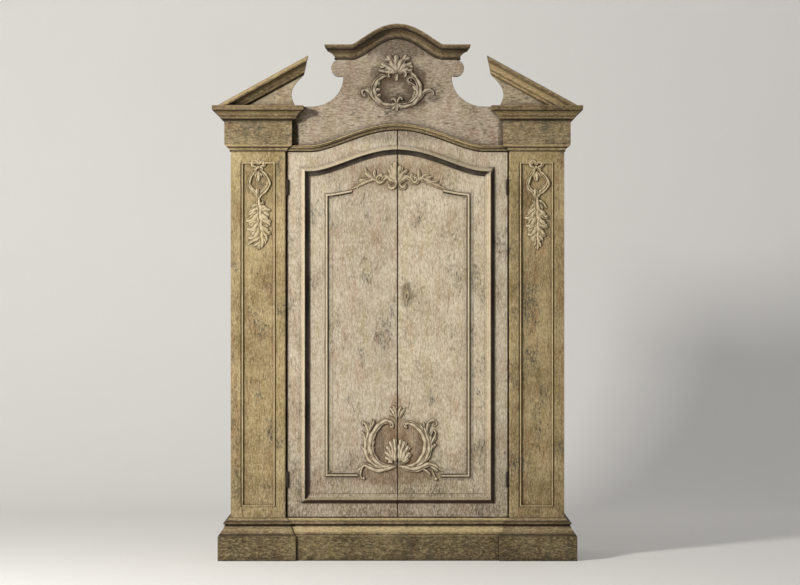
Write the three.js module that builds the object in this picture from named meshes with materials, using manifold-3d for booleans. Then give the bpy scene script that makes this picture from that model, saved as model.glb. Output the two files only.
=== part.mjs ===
import * as THREE from 'three';
import { mergeVertices } from 'three/addons/utils/BufferGeometryUtils.js';
import Module from 'manifold-3d';

const wasm = await Module();
wasm.setup();

// Heights of the front, from the floor up, in millimetres
const plinthHeight = 117;
const baseMouldingHeight = 88;
const shaftHeight = 1778;
const neckingHeight = 30;
const friezeHeight = 119;
const corniceHeight = 69;
const boardRise = 227;
const capRise = 100;
const capHeight = 72;

// Widths and depths of the case
const openingWidth = 1082;
const pilasterWidth = 268;
const caseDepth = 560;
const pilasterProud = 10;
const pilasterThickness = 54;
const centreRecess = 18;
const sideThickness = 22;
const boardThickness = 24;
const backThickness = 14;
const grooveDepth = 8;
const shelfShares = [0.23, 0.48, 0.73];
const floorRaise = 10;

// How far the mouldings stand out from the pilaster
const plinthProjection = 60;
const friezeProjection = 29.5;
const corniceProjection = 57;
const capProjection = 51;
const capReturnGap = 2.8;
const archProjection = 26;
const archMouldingHeight = 28;

// The arch over the doors and the serpentine cap
const archRise = 105;
const archSpan = 415;
const capSpan = 215;
const capHalfWidth = 303;
const serpentineShare = 0.77;
const curveSteps = 14;

// The broken pediment over each pilaster
const rakeFoot = 872;
const rakeHead = 433;
const rakeHeadHeight = 241;
const rakeHeadLean = 15;
const tympanumThickness = 24;
const tympanumFoot = 494;
const tympanumHollow = 22;

// The lobed outline of the pediment board
const flankFoot = 419;
const neckHalfWidth = 264;
const neckShare = 0.62;
const lobeRadius = 41;
const lobeOut = 18;

// Doors
const doorThickness = 28;
const hingeGap = 7;
const seamGap = 3;
const archGap = 4;
const sillGap = 4;
const panelThickness = 24;
const stileWidth = 87;
const bottomRailHeight = 89;
const topRailDepth = 95;
const fitGap = 0.4;
const bolectionOut = 13;
const bolectionIn = 22;
const bolectionHeight = 28;
const beadInset = 189;
const beadWidth = 17;
const beadHeight = 9;
const beadFoot = 200;
const beadHead = 199;
const beadRise = 52;
const beadHeadGap = 222;
const beadFootGap = 203;

// Carvings
const carvingRelief = 20;
const cartoucheHalfWidth = 187;
const cartoucheHeightShare = 0.706;
const cartoucheFootShare = 0.131;
const dropHalfWidth = 60;
const dropHeight = 432;
const dropOverlap = 10;
const crestHalfWidth = 218;
const crestHeight = 133;
const crestDrop = 25;
const shellHalfWidth = 200;
const shellHeight = 380;
const shellRise = 77;
const strokeSteps = 1;
const strokeStartShare = 0.2;
const strokeLiftShare = 0.5;

// Hinges, lock and bolts
const knuckleRadius = 6.5;
const knuckleLength = 38;
const pinRadius = 2.5;
const pinHead = 3;
const hingeLeafThickness = 2.2;
const hingeLeafWidth = 22;
const hingeLeafLength = 76;
const hingeFootInset = 181;
const hingeHeadInset = 171;
const hingePlay = 0.4;
const lockShare = 0.574;
const lockWidth = 80;
const lockLength = 130;
const lockThickness = 18;
const lockBoltLength = 60;
const lockBoltHeight = 24;
const lockBoltThickness = 8;
const lockThrow = 12;
const keeperWidth = 24;
const keeperLength = 60;
const surfaceBoltWidth = 12;
const surfaceBoltThickness = 6;
const surfaceBoltLength = 130;
const surfaceBoltOffset = 26;
const upperBoltThrow = 16;
const lowerBoltThrow = 9;
const guideWidth = 32;
const guideLength = 56;
const guideInset = 20;
const guideThickness = 11;
const boltPlay = 0.5;
const escutcheonWidth = 25;
const escutcheonHeight = 112;
const escutcheonThickness = 4;
const escutcheonInset = 44;
const keyholeRadius = 4.5;
const keyholeSlot = 14;

// Recess of the pilasters
const recessWidth = 160;
const recessDepth = 9;
const recessFootGap = 59;
const recessHeadGap = 61;
const recessBevel = 7;
const arrisWidth = 9;
const arrisDepth = 3;

// Places that follow from the sizes above
const openingHalf = openingWidth / 2;
const caseHalf = openingHalf + pilasterWidth;
const frontReach = pilasterProud + friezeProjection + corniceProjection;
const doorFaceY = frontReach - (caseDepth + frontReach) / 2;
const baseTop = plinthHeight + baseMouldingHeight;
const shaftTop = baseTop + shaftHeight;
const friezeTop = shaftTop + neckingHeight + friezeHeight;
const corniceTop = friezeTop + corniceHeight;
const capFoot = corniceTop + boardRise;
const postBack = pilasterProud - pilasterThickness;
const centreLine = pilasterProud - centreRecess;
const friezeFace = pilasterProud + friezeProjection;
const caseBack = -caseDepth;
const innerHalf = caseHalf - sideThickness;
const floorTop = baseTop + floorRaise;
const ceilingFoot = friezeTop;
const backFace = caseBack + backThickness;
const doorHalf = openingHalf - hingeGap;
const seamHalf = seamGap / 2;
const doorFoot = baseTop + sillGap;
const panelEdge = doorHalf - stileWidth;
const panelFoot = doorFoot + bottomRailHeight;
const hingeAxisReach = knuckleRadius + hingePlay;
const floorFront = -doorThickness - sillGap;
const shelfHeights = shelfShares.map(share => floorTop + (ceilingFoot - floorTop) * share);
const neckHeight = boardRise * neckShare;
const recessFoot = baseTop + recessFootGap;
const recessTop = shaftTop - recessHeadGap;
const fieldFoot = shaftTop + archRise + archMouldingHeight;
const fieldHeight = capFoot + capRise - fieldFoot;
const cartoucheFoot = fieldFoot + fieldHeight * cartoucheFootShare;
const cartoucheHeight = fieldHeight * cartoucheHeightShare;
const dropFoot = recessTop + dropOverlap - dropHeight;
const panelCrown = shaftTop + archRise - archGap - topRailDepth;
const crestFoot = panelCrown - bolectionIn - crestDrop - crestHeight;
const shellFoot = panelFoot + shellRise;
const hingeHeights = [doorFoot + hingeFootInset, shaftTop - archGap - hingeHeadInset];
const lockHeight = doorFoot + (shaftTop + archRise - archGap - doorFoot) * lockShare;

// Profiles as shares: outward first, then upward
const baseProfileShares = [
  [0.95, 0], [0.95, 0.07], [0.85, 0.16], [0.7, 0.28], [0.57, 0.4], [0.5, 0.52], [0.48, 0.6],
  [0.55, 0.64], [0.55, 0.72], [0.4, 0.78], [0.24, 0.88], [0.12, 0.95], [0.08, 1],
];
const neckingProfileShares = [
  [0.2, 0], [0.2, 0.14], [0.26, 0.34], [0.42, 0.56], [0.7, 0.76], [0.86, 0.82], [0.86, 0.9], [1, 1],
];
const corniceProfileShares = [
  [0.1, 0], [0.22, 0.07], [0.37, 0.13], [0.37, 0.25], [0.44, 0.28], [0.5, 0.4], [0.6, 0.51],
  [0.77, 0.59], [0.87, 0.64], [1, 0.66], [1, 1],
];
const capProfileShares = [
  [0.06, 0], [0.08, 0.11], [0.03, 0.16], [0.14, 0.32], [0.32, 0.45], [0.56, 0.55], [0.75, 0.6], [0.8, 0.65],
  [0.96, 0.82], [1, 1],
];
const archProfileShares = [
  [0.25, 0], [0.35, 0.18], [0.35, 0.26], [0.48, 0.5], [0.8, 0.72], [0.8, 0.8], [1, 0.8], [1, 1],
];
const bolectionProfileShares = [
  [0, 0], [0.45, 0.03], [0.85, 0.14], [1, 0.25], [0.94, 0.34], [0.4, 0.48], [0.22, 0.6], [0.16, 0.74],
  [0.22, 0.84], [0.16, 0.94], [0, 1],
];
const beadProfileShares = [[0, 0], [0.6, 0.06], [1, 0.3], [1, 0.6], [0.45, 0.78], [0.35, 1], [0, 1]];
const strokeProfileShares = [[-1, 0], [-0.5, 0.95], [0.5, 0.95], [1, 0]];

// Carved strokes of one half: points across and up, then width and tip as shares of the half width
const cartoucheStrokeShares = [
  { path: [[0.37, 0.69], [0.56, 0.51], [0.6, 0.36], [0.52, 0.23], [0.38, 0.14], [0.15, 0.1], [0, 0.12]], width: 0.07, tip: 0.6 },
  { path: [[0, 0.68], [0.1, 0.715], [0.22, 0.7], [0.39, 0.68]], width: 0.06, tip: 0.8 },
  { path: [[0, 0.64], [0.01, 0.8], [0, 0.98]], width: 0.07, tip: 0.4 },
  { path: [[0, 0.64], [0.12, 0.84], [0.29, 0.945]], width: 0.07, tip: 0.4 },
  { path: [[0, 0.65], [0.2, 0.78], [0.42, 0.86]], width: 0.065, tip: 0.4 },
  { path: [[0, 0.66], [0.24, 0.745], [0.47, 0.77]], width: 0.05, tip: 0.4 },
  { path: [[0.38, 0.14], [0.62, 0.27], [0.79, 0.37], [0.93, 0.38], [0.97, 0.32], [0.88, 0.3]], width: 0.06, tip: 0.6 },
  { path: [[0, 0.1], [0.02, 0.19], [0.1, 0.25], [0.14, 0.21]], width: 0.035, tip: 0.9 },
  { path: [[0, 0.16], [0.01, 0.09], [0, 0.01]], width: 0.05, tip: 0.4 },
  { path: [[0, 0.12], [0.1, 0.07], [0.18, 0.04]], width: 0.04, tip: 0.4 },
  { path: [[0.56, 0.47], [0.48, 0.5], [0.42, 0.53]], width: 0.05, tip: 0.4 },
  { path: [[0.6, 0.35], [0.51, 0.38], [0.43, 0.42]], width: 0.05, tip: 0.4 },
];
const dropStrokeShares = [
  { path: [[0, 0.91], [0.34, 0.925], [0.56, 0.962], [0.3, 0.995], [0.08, 0.965]], width: 0.13, tip: 0.8 },
  { path: [[0, 0.92], [0.45, 0.85], [0.84, 0.77], [0.85, 0.71], [0.4, 0.645], [0, 0.59]], width: 0.13, tip: 0.9 },
  { path: [[0, 0.92], [0.02, 0.86], [0, 0.77]], width: 0.16, tip: 0.4 },
  { path: [[0, 0.64], [0.04, 0.4], [-0.03, 0.2], [0.05, 0.01]], width: 0.17, tip: 0.4 },
  { path: [[0, 0.56], [0.35, 0.54], [0.62, 0.5]], width: 0.13, tip: 0.4 },
  { path: [[0, 0.48], [0.5, 0.47], [0.9, 0.42]], width: 0.2, tip: 0.4 },
  { path: [[0, 0.38], [0.55, 0.37], [0.96, 0.3]], width: 0.22, tip: 0.4 },
  { path: [[0, 0.28], [0.5, 0.26], [0.88, 0.19]], width: 0.2, tip: 0.4 },
  { path: [[0, 0.18], [0.35, 0.14], [0.6, 0.06]], width: 0.18, tip: 0.4 },
];
const crestStrokeShares = [
  { path: [[0.02, 0.05], [0.02, 0.5], [0.02, 0.98]], width: 0.035, tip: 0.8 },
  { path: [[0.02, 0.4], [0.07, 0.75], [0.12, 0.9]], width: 0.03, tip: 0.4 },
  { path: [[0.02, 0.36], [0.11, 0.62], [0.2, 0.76]], width: 0.03, tip: 0.4 },
  { path: [[0.02, 0.5], [0.04, 0.22], [0.09, 0.04], [0.17, 0.06], [0.19, 0.2]], width: 0.022, tip: 0.8 },
  { path: [[0.02, 0.4], [0.18, 0.56], [0.3, 0.48], [0.34, 0.24], [0.42, 0.18], [0.47, 0.34]], width: 0.03, tip: 0.8 },
  { path: [[0.4, 0.18], [0.55, 0.28], [0.72, 0.24], [0.88, 0.22], [0.99, 0.12]], width: 0.034, tip: 0.4 },
  { path: [[0.58, 0.26], [0.7, 0.4], [0.8, 0.46]], width: 0.025, tip: 0.4 },
  { path: [[0.33, 0.42], [0.4, 0.62], [0.44, 0.74]], width: 0.025, tip: 0.4 },
];
const shellStrokeShares = [
  { path: [[0.16, 0.72], [0.27, 0.775], [0.4, 0.735], [0.5, 0.66], [0.57, 0.56], [0.59, 0.46], [0.56, 0.36],
    [0.45, 0.28], [0.3, 0.235], [0, 0.22]], width: 0.04, tip: 0.9 },
  { path: [[0.3, 0.215], [0.45, 0.21], [0.62, 0.28], [0.76, 0.43], [0.79, 0.57], [0.74, 0.7], [0.79, 0.77],
    [0.88, 0.76]], width: 0.045, tip: 0.5 },
  { path: [[0.64, 0.36], [0.66, 0.56], [0.64, 0.72], [0.62, 0.82]], width: 0.06, tip: 0.4 },
  { path: [[0.77, 0.48], [0.86, 0.6], [0.92, 0.68]], width: 0.03, tip: 0.5 },
  { path: [[0.7, 0.36], [0.82, 0.44], [0.92, 0.5]], width: 0.03, tip: 0.4 },
  { path: [[0, 0.2], [0.27, 0.185], [0.52, 0.19], [0.76, 0.24], [0.9, 0.16], [0.94, 0.09], [0.87, 0.06]], width: 0.045, tip: 0.7 },
  { path: [[0.02, 0.2], [0.06, 0.4], [0.1, 0.58]], width: 0.045, tip: 0.8 },
  { path: [[0.04, 0.2], [0.15, 0.38], [0.21, 0.53]], width: 0.05, tip: 0.8 },
  { path: [[0.06, 0.2], [0.2, 0.34], [0.3, 0.46]], width: 0.05, tip: 0.8 },
  { path: [[0.08, 0.2], [0.22, 0.28], [0.33, 0.38]], width: 0.05, tip: 0.8 },
  { path: [[0.01, 0.5], [0.01, 0.7], [0.01, 0.98]], width: 0.025, tip: 0.8 },
  { path: [[0.01, 0.86], [0.1, 0.93], [0.2, 0.97]], width: 0.03, tip: 0.4 },
  { path: [[0.01, 0.68], [0.08, 0.69], [0.18, 0.73]], width: 0.025, tip: 0.9 },
];
const escutcheonOutlineShares = [
  [0, 0.5], [0.4, 0.4], [0.3, 0.3], [0.9, 0.16], [1, 0], [0.8, -0.14], [0.3, -0.26], [0.45, -0.38], [0, -0.5],
];

// Paint, wood and iron
const creamPaint = new THREE.MeshStandardMaterial({ color: 0xc4b59b, roughness: 0.8, metalness: 0 });
const ochrePaint = new THREE.MeshStandardMaterial({ color: 0xa08e68, roughness: 0.82, metalness: 0 });
const bareWood = new THREE.MeshStandardMaterial({ color: 0x8a6a48, roughness: 0.85, metalness: 0 });
const darkIron = new THREE.MeshStandardMaterial({ color: 0x3a3029, roughness: 0.6, metalness: 0.8 });

const cupboard = new THREE.Group();

function place(name, geometry, material) {
  geometry.computeVertexNormals();
  const mesh = new THREE.Mesh(geometry, material);
  mesh.name = name;
  cupboard.add(mesh);
}

// The depth of a point that stands the given reach in front of the door face
function depthAt(reach) {
  return doorFaceY - reach;
}

function at(x, reach, z) {
  return new THREE.Vector3(x, depthAt(reach), z);
}

function signedArea(outline) {
  return THREE.ShapeUtils.area(outline);
}

// The faces that fill an outline, turned the way the outline runs
function fill(outline, first, reversed) {
  const forward = signedArea(outline) > 0;
  const faces = [];
  THREE.ShapeUtils.triangulateShape(outline, []).forEach(([a, b, c]) => {
    const turned = signedArea([outline[a], outline[b], outline[c]]) > 0;
    const keep = (turned === forward) !== reversed;
    faces.push(first + a, first + (keep ? b : c), first + (keep ? c : b));
  });
  return faces;
}

function volumeOf(positions, faces) {
  let volume = 0;
  const corner = index => new THREE.Vector3().fromArray(positions, index * 3);
  for (let i = 0; i < faces.length; i += 3) {
    volume += corner(faces[i]).dot(corner(faces[i + 1]).cross(corner(faces[i + 2])));
  }
  return volume;
}

// A closed body through rings of points, its two ends filled as their flat outlines say
function loft(rings, startOutline, endOutline) {
  const count = rings[0].length;
  const positions = rings.flatMap(ring => ring.flatMap(point => point.toArray()));
  const faces = fill(startOutline, 0, true);
  for (let r = 0; r + 1 < rings.length; r++) {
    for (let i = 0; i < count; i++) {
      const a = r * count + i;
      const b = r * count + (i + 1) % count;
      faces.push(a, b, b + count, a, b + count, a + count);
    }
  }
  faces.push(...fill(endOutline, (rings.length - 1) * count, false));
  if (volumeOf(positions, faces) < 0) {
    faces.reverse();
  }
  const geometry = new THREE.BufferGeometry();
  geometry.setAttribute('position', new THREE.Float32BufferAttribute(positions, 3));
  geometry.setIndex(faces);
  return geometry;
}

// A profile carried through stations, each with an origin, an outward vector and an upward vector
function sweep(profile, stations) {
  const rings = stations.map(({ origin, out, up }) => profile.map(point =>
    origin.clone().addScaledVector(out, point.x).addScaledVector(up, point.y)));
  return loft(rings, profile, profile);
}

function scaledProfile(shares, outward, upward) {
  return shares.map(([out, up]) => new THREE.Vector2(out * outward, up * upward));
}

function toSolid(geometry) {
  const bare = geometry.clone();
  bare.deleteAttribute('normal');
  bare.deleteAttribute('uv');
  const merged = mergeVertices(bare);
  return new wasm.Manifold(new wasm.Mesh({
    numProp: 3,
    vertProperties: merged.attributes.position.array,
    triVerts: Uint32Array.from(merged.index.array),
  }));
}

function toGeometry(solid) {
  const { vertProperties, triVerts } = solid.getMesh();
  const geometry = new THREE.BufferGeometry();
  geometry.setAttribute('position', new THREE.Float32BufferAttribute(vertProperties, 3));
  geometry.setIndex(Array.from(triVerts));
  return geometry;
}

function joined(geometries) {
  return geometries.map(toSolid).reduce((sum, next) => sum.add(next));
}

function cut(geometry, cutters) {
  return toGeometry(cutters.map(toSolid).reduce((rest, next) => rest.subtract(next), toSolid(geometry)));
}

// A squared board between two corners, each given as across, reach in front of the doors, and height
function board([x0, reach0, z0], [x1, reach1, z1]) {
  const geometry = new THREE.BoxGeometry(Math.abs(x1 - x0), Math.abs(reach1 - reach0), Math.abs(z1 - z0));
  return geometry.translate((x0 + x1) / 2, depthAt((reach0 + reach1) / 2), (z0 + z1) / 2);
}

// A board cut to an outline drawn on the front
function frontBoard(drawing, front, back) {
  const outline = drawing.filter((point, i) => point.distanceTo(drawing.at(i - 1)) > Number.EPSILON);
  const rings = [front, back].map(reach => outline.map(point => at(point.x, reach, point.y)));
  return loft(rings, outline, outline);
}

function mirrored(geometry) {
  const copy = geometry.clone().scale(-1, 1, 1);
  copy.setIndex(copy.index ? Array.from(copy.index.array).reverse() : reversedOrder(copy));
  return copy;
}

function reversedOrder(geometry) {
  return Array.from({ length: geometry.attributes.position.count }, (_, i) => i).reverse();
}

// Places a right-hand piece and its mirror image
function placePair(name, geometry, material) {
  place(`${name}_right`, geometry, material);
  place(`${name}_left`, mirrored(geometry), material);
}

// The serpentine line: one at the middle, falling to nothing at the span
function serpentine(x, span) {
  const share = Math.min(Math.abs(x) / span, 1);
  return Math.pow((1 + Math.cos(Math.PI * share)) / 2, serpentineShare);
}

function archHeight(x) {
  return shaftTop + archRise * serpentine(x, archSpan);
}

function capLine(x) {
  return capFoot + capRise * serpentine(x, capSpan);
}

// Even steps from one place to another across the front, with every step shorter than a share of the span
function spread(from, to, steps) {
  return Array.from({ length: steps + 1 }, (_, i) => from + (to - from) * i / steps);
}

function curvePoints(line, from, to) {
  return spread(from, to, curveSteps).map(x => new THREE.Vector2(x, line(x)));
}

// Plan of a moulding that wraps a pilaster, drawn for the right side: inner points close it on its seat
function wrapPlan(offset, inward, returnReach, seat) {
  const front = pilasterProud + offset;
  const inner = openingHalf - inward;
  const outer = caseHalf + offset;
  return [
    [outer, caseBack], [outer, front], [inner, front], [inner, returnReach], ...seat,
  ].map(([x, reach]) => new THREE.Vector2(x, depthAt(reach)));
}

const plantedSeat = [[openingHalf, pilasterProud], [caseHalf, pilasterProud], [caseHalf, caseBack]];

function wrapLoft(levels, planAt) {
  const plans = levels.map(({ offset }) => planAt(offset));
  const rings = plans.map((plan, i) => plan.map(point => new THREE.Vector3(point.x, point.y, levels[i].height)));
  return loft(rings, plans[0], plans[plans.length - 1]);
}

function levelsOf(shares, foot, rise, outward, inward) {
  return shares.map(([out, up]) => ({ offset: inward + out * outward, height: foot + up * rise }));
}

// Plinth and base moulding: the pilaster blocks mitre with the recessed middle run
const baseReturnShare = 0.83;

function basePlan(offset) {
  const seat = [[openingHalf, centreLine + fitGap], ...plantedSeat];
  return wrapPlan(offset, offset * baseReturnShare, centreLine + offset + fitGap, seat);
}

function addPlinth() {
  const block = [{ offset: plinthProjection, height: 0 }, { offset: plinthProjection, height: plinthHeight }];
  placePair('plinth_block', wrapLoft(block, basePlan), ochrePaint);
  const moulding = levelsOf(baseProfileShares, plinthHeight, baseMouldingHeight, plinthProjection, 0);
  placePair('base_moulding', wrapLoft(moulding, basePlan), ochrePaint);
  const plinthSection = scaledProfile([[0, 0], [1, 0], [1, 1], [0, 1]], plinthProjection, plinthHeight);
  place('plinth_middle', middleRun(plinthSection, 0), ochrePaint);
  const shares = [[0, 0], ...baseProfileShares, [0, 1]];
  const section = scaledProfile(shares, plinthProjection, baseMouldingHeight);
  place('base_moulding_middle', middleRun(section, plinthHeight), creamPaint);
}

function middleRun(section, foot) {
  const up = new THREE.Vector3(0, 0, 1);
  const half = openingHalf - fitGap;
  return sweep(section, [
    { origin: at(-half, centreLine, foot), out: new THREE.Vector3(baseReturnShare, -1, 0), up },
    { origin: at(half, centreLine, foot), out: new THREE.Vector3(-baseReturnShare, -1, 0), up },
  ]);
}

// Pilasters: a post with a sunk panel and a worn inner arris
function addPilasters() {
  const plan = [
    [openingHalf, pilasterProud - arrisDepth], [openingHalf + arrisWidth, pilasterProud],
    [caseHalf, pilasterProud], [caseHalf, postBack], [openingHalf, postBack],
  ].map(([x, reach]) => new THREE.Vector2(x, depthAt(reach)));
  const post = loft([0, friezeTop].map(z =>
    plan.map(point => new THREE.Vector3(point.x, point.y, z))), plan, plan);
  const middle = openingHalf + pilasterWidth / 2;
  const half = recessWidth / 2;
  const rim = half + recessBevel;
  const rings = [
    { half: rim, grow: recessBevel, reach: pilasterProud + recessBevel * 2 },
    { half: rim, grow: recessBevel, reach: pilasterProud },
    { half: half, grow: 0, reach: pilasterProud - recessDepth },
  ].map(({ half: wide, grow, reach }) => [
    at(middle - wide, reach, recessFoot - grow), at(middle + wide, reach, recessFoot - grow),
    at(middle + wide, reach, recessTop + grow), at(middle - wide, reach, recessTop + grow),
  ]);
  const outline = rings[0].map(point => new THREE.Vector2(point.x, point.z));
  placePair('pilaster', cut(post, [loft(rings, outline, outline)]), ochrePaint);
}

// Necking, frieze and cornice of the block over each pilaster
function addEntablature() {
  const frieze = levelsOf(neckingProfileShares, shaftTop, neckingHeight, friezeProjection, 0);
  frieze.push({ offset: friezeProjection, height: friezeTop });
  const friezePlan = offset => wrapPlan(offset, offset, 0, [[openingHalf, 0], ...plantedSeat]);
  placePair('frieze_block', wrapLoft(frieze, friezePlan), ochrePaint);
  const cornice = levelsOf(corniceProfileShares, friezeTop, corniceHeight, corniceProjection, friezeProjection);
  const cover = [[openingHalf, 0], [openingHalf, postBack], [innerHalf, postBack], [innerHalf, caseBack]];
  const cornicePlan = offset => wrapPlan(offset, offset, 0, cover);
  placePair('cornice', wrapLoft(cornice, cornicePlan), ochrePaint);
}

// Half of the broken pediment: a raking cornice over a tympanum with a hollow inner edge
function addPediment() {
  const foot = new THREE.Vector2(rakeFoot, corniceTop);
  const head = new THREE.Vector2(rakeHead, corniceTop + rakeHeadHeight);
  const slope = head.clone().sub(foot).normalize();
  const below = new THREE.Vector2(slope.y, -slope.x).multiplyScalar(-1);
  const level = new THREE.Vector2(-1, 0);
  const lean = new THREE.Vector2(rakeHeadLean, -corniceHeight);
  const footStep = level.multiplyScalar(1 / level.dot(below));
  const headStep = lean.multiplyScalar(1 / lean.dot(below));
  const backStep = friezeFace - tympanumThickness;
  const shares = [[-backStep / corniceProjection, 0], ...corniceProfileShares, [-backStep / corniceProjection, 1]];
  const profile = shares.map(([out, up]) => new THREE.Vector2(out * corniceProjection, (1 - up) * corniceHeight));
  const forward = new THREE.Vector3(0, -1, 0);
  const rake = sweep(profile, [
    { origin: at(foot.x, friezeFace, foot.y), out: forward, up: new THREE.Vector3(footStep.x, 0, footStep.y) },
    { origin: at(head.x, friezeFace, head.y), out: forward, up: new THREE.Vector3(headStep.x, 0, headStep.y) },
  ]);
  placePair('raking_cornice', rake, ochrePaint);
  const under = corniceHeight + fitGap;
  const heel = foot.clone().addScaledVector(footStep, under);
  const crown = head.clone().addScaledVector(headStep, under);
  const shape = new THREE.Shape();
  shape.moveTo(heel.x, heel.y);
  shape.lineTo(crown.x, crown.y);
  shape.bezierCurveTo(crown.x + tympanumHollow * 2, crown.y - tympanumHollow * 2,
    tympanumFoot + tympanumHollow * 2, corniceTop + capHeight, tympanumFoot, corniceTop);
  const outline = shape.getPoints(curveSteps);
  placePair('tympanum', frontBoard(outline, friezeFace, friezeFace - tympanumThickness), creamPaint);
}

// The pediment board: arched below, hollow flanks and lobes above, with the serpentine top
function boardEdge() {
  const edge = new THREE.Path();
  edge.moveTo(openingHalf, corniceTop);
  edge.lineTo(flankFoot, corniceTop);
  edge.absellipse(flankFoot, corniceTop + neckHeight, flankFoot - neckHalfWidth, neckHeight,
    -Math.PI / 2, -Math.PI, true);
  const low = -Math.PI / 2 - Math.asin(lobeOut / lobeRadius);
  edge.absarc(neckHalfWidth + lobeOut, capFoot - lobeRadius, lobeRadius, low, Math.PI / 2, false);
  return edge.getPoints(curveSteps);
}

function addPedimentBoard() {
  const right = boardEdge();
  const left = right.map(point => new THREE.Vector2(-point.x, point.y)).reverse();
  const outline = [
    ...curvePoints(archHeight, -archSpan, 0), ...curvePoints(archHeight, 0, archSpan).slice(1),
    new THREE.Vector2(openingHalf, shaftTop), ...right,
    ...curvePoints(capLine, capSpan, 0), ...curvePoints(capLine, 0, -capSpan).slice(1),
    ...left, new THREE.Vector2(-openingHalf, shaftTop),
  ];
  const slot = board(
    [-surfaceBoltOffset - surfaceBoltWidth / 2 - boltPlay, -doorThickness, archHeight(0) - archRise],
    [-surfaceBoltOffset + surfaceBoltWidth / 2 + boltPlay,
      -doorThickness - surfaceBoltThickness - boltPlay * 2, archHeight(0) + upperBoltThrow + boltPlay]);
  place('pediment_board', cut(frontBoard(outline, 0, postBack), [slot]), creamPaint);
}

// The station of a moulding that follows a line across the front, square to the line
function lineStation(line, x, reach) {
  const step = archSpan / curveSteps / curveSteps;
  const along = new THREE.Vector2(step * 2, line(x + step) - line(x - step)).normalize();
  return {
    origin: at(x, reach, line(x)),
    out: new THREE.Vector3(0, -1, 0),
    up: new THREE.Vector3(-along.y, 0, along.x),
  };
}

function addArchMoulding() {
  const shares = [[0, 0], ...archProfileShares, [0, 1]];
  const profile = scaledProfile(shares, archProjection, archMouldingHeight);
  const end = openingHalf - friezeProjection * neckingProfileShares[0][0] - fitGap;
  const lean = (friezeProjection * (1 - neckingProfileShares[0][0])) / archMouldingHeight;
  const flat = side => ({
    origin: at(side * end, 0, shaftTop),
    out: new THREE.Vector3(0, -1, 0),
    up: new THREE.Vector3(-side * lean, 0, 1),
  });
  const steps = spread(-archSpan, archSpan, curveSteps * 2).map(x => lineStation(archHeight, x, 0));
  place('arch_moulding', sweep(profile, [flat(-1), ...steps, flat(1)]), creamPaint);
}

function addCapMoulding() {
  const backShare = (postBack + capReturnGap) / capProjection;
  const shares = [[backShare, 0], ...capProfileShares, [backShare, 1]];
  const profile = scaledProfile(shares, capProjection, capHeight);
  const up = new THREE.Vector3(0, 0, 1);
  const turn = side => [
    { origin: at(side * capHalfWidth, postBack, capFoot), out: new THREE.Vector3(side, 0, 0), up },
    { origin: at(side * capHalfWidth, 0, capFoot), out: new THREE.Vector3(side, -1, 0), up },
  ];
  const steps = spread(-capSpan, capSpan, curveSteps * 2).map(x => lineStation(capLine, x, 0));
  place('cap_moulding', sweep(profile, [...turn(-1), ...steps, ...turn(1).reverse()]), creamPaint);
}

// The case behind the front: sides, floor, top, shelves and back boards
function addCase() {
  const grooves = shelfHeights.map(z => board(
    [innerHalf + grooveDepth + fitGap, postBack, z - fitGap],
    [innerHalf - fitGap, backFace - fitGap, z + boardThickness + fitGap]));
  const side = cut(board([innerHalf, postBack, 0], [caseHalf, caseBack, friezeTop]), grooves);
  placePair('side_board', side, bareWood);
  const hole = board(
    [-surfaceBoltOffset - surfaceBoltWidth / 2 - boltPlay, floorFront + boardThickness, floorTop - lowerBoltThrow - sillGap],
    [-surfaceBoltOffset + surfaceBoltWidth / 2 + boltPlay,
      -doorThickness - surfaceBoltThickness - boltPlay * 2, floorTop + boardThickness]);
  const floor = joined([
    board([-openingHalf, floorFront, floorTop - boardThickness], [openingHalf, postBack - fitGap, floorTop]),
    board([-innerHalf, postBack, floorTop - boardThickness], [innerHalf, backFace, floorTop]),
  ]);
  place('floor_board', cut(toGeometry(floor), [hole]), bareWood);
  place('sill_rail', board([-openingHalf, centreLine, plinthHeight], [openingHalf, floorFront, baseTop]), bareWood);
  place('top_board', board([-innerHalf, postBack, ceilingFoot], [innerHalf, backFace, ceilingFoot + boardThickness]), bareWood);
  const shelfHalf = innerHalf + grooveDepth;
  ['low', 'middle', 'high'].forEach((name, i) => {
    const z = shelfHeights[i];
    place(`shelf_${name}`, board([-shelfHalf, postBack - sillGap, z], [shelfHalf, backFace, z + boardThickness]), bareWood);
  });
  const backTop = ceilingFoot + boardThickness;
  place('back_board_left', board([-innerHalf, backFace, plinthHeight], [-fitGap, caseBack, backTop]), bareWood);
  place('back_board_right', board([fitGap, backFace, plinthHeight], [innerHalf, caseBack, backTop]), bareWood);
}

// The arched lines of the door, drawn for the right leaf
function doorTop(x) {
  return archHeight(x) - archGap;
}

function panelTop(x) {
  return doorTop(x) - topRailDepth;
}

function doorOutline(edge, foot, top) {
  const curve = curvePoints(top, Math.min(edge, archSpan), seamHalf);
  const points = [[seamHalf, foot], [edge, foot], [edge, top(edge)]].map(([x, z]) => new THREE.Vector2(x, z));
  return edge > archSpan ? [...points, ...curve] : [...points, ...curve.slice(1)];
}

function doorFrame() {
  const leaf = frontBoard(doorOutline(doorHalf, doorFoot, doorTop), 0, -doorThickness);
  const outline = doorOutline(panelEdge, panelFoot, panelTop);
  outline.push(new THREE.Vector2(-panelEdge, panelTop(0)), new THREE.Vector2(-panelEdge, panelFoot));
  const opening = frontBoard(outline, doorThickness, -doorThickness * 2);
  return cut(leaf, [opening]);
}

function doorPanel() {
  const foot = panelFoot + fitGap;
  const top = x => panelTop(x) - fitGap;
  const outline = doorOutline(panelEdge - fitGap, foot, top);
  return frontBoard(outline, 0, -panelThickness);
}

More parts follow.
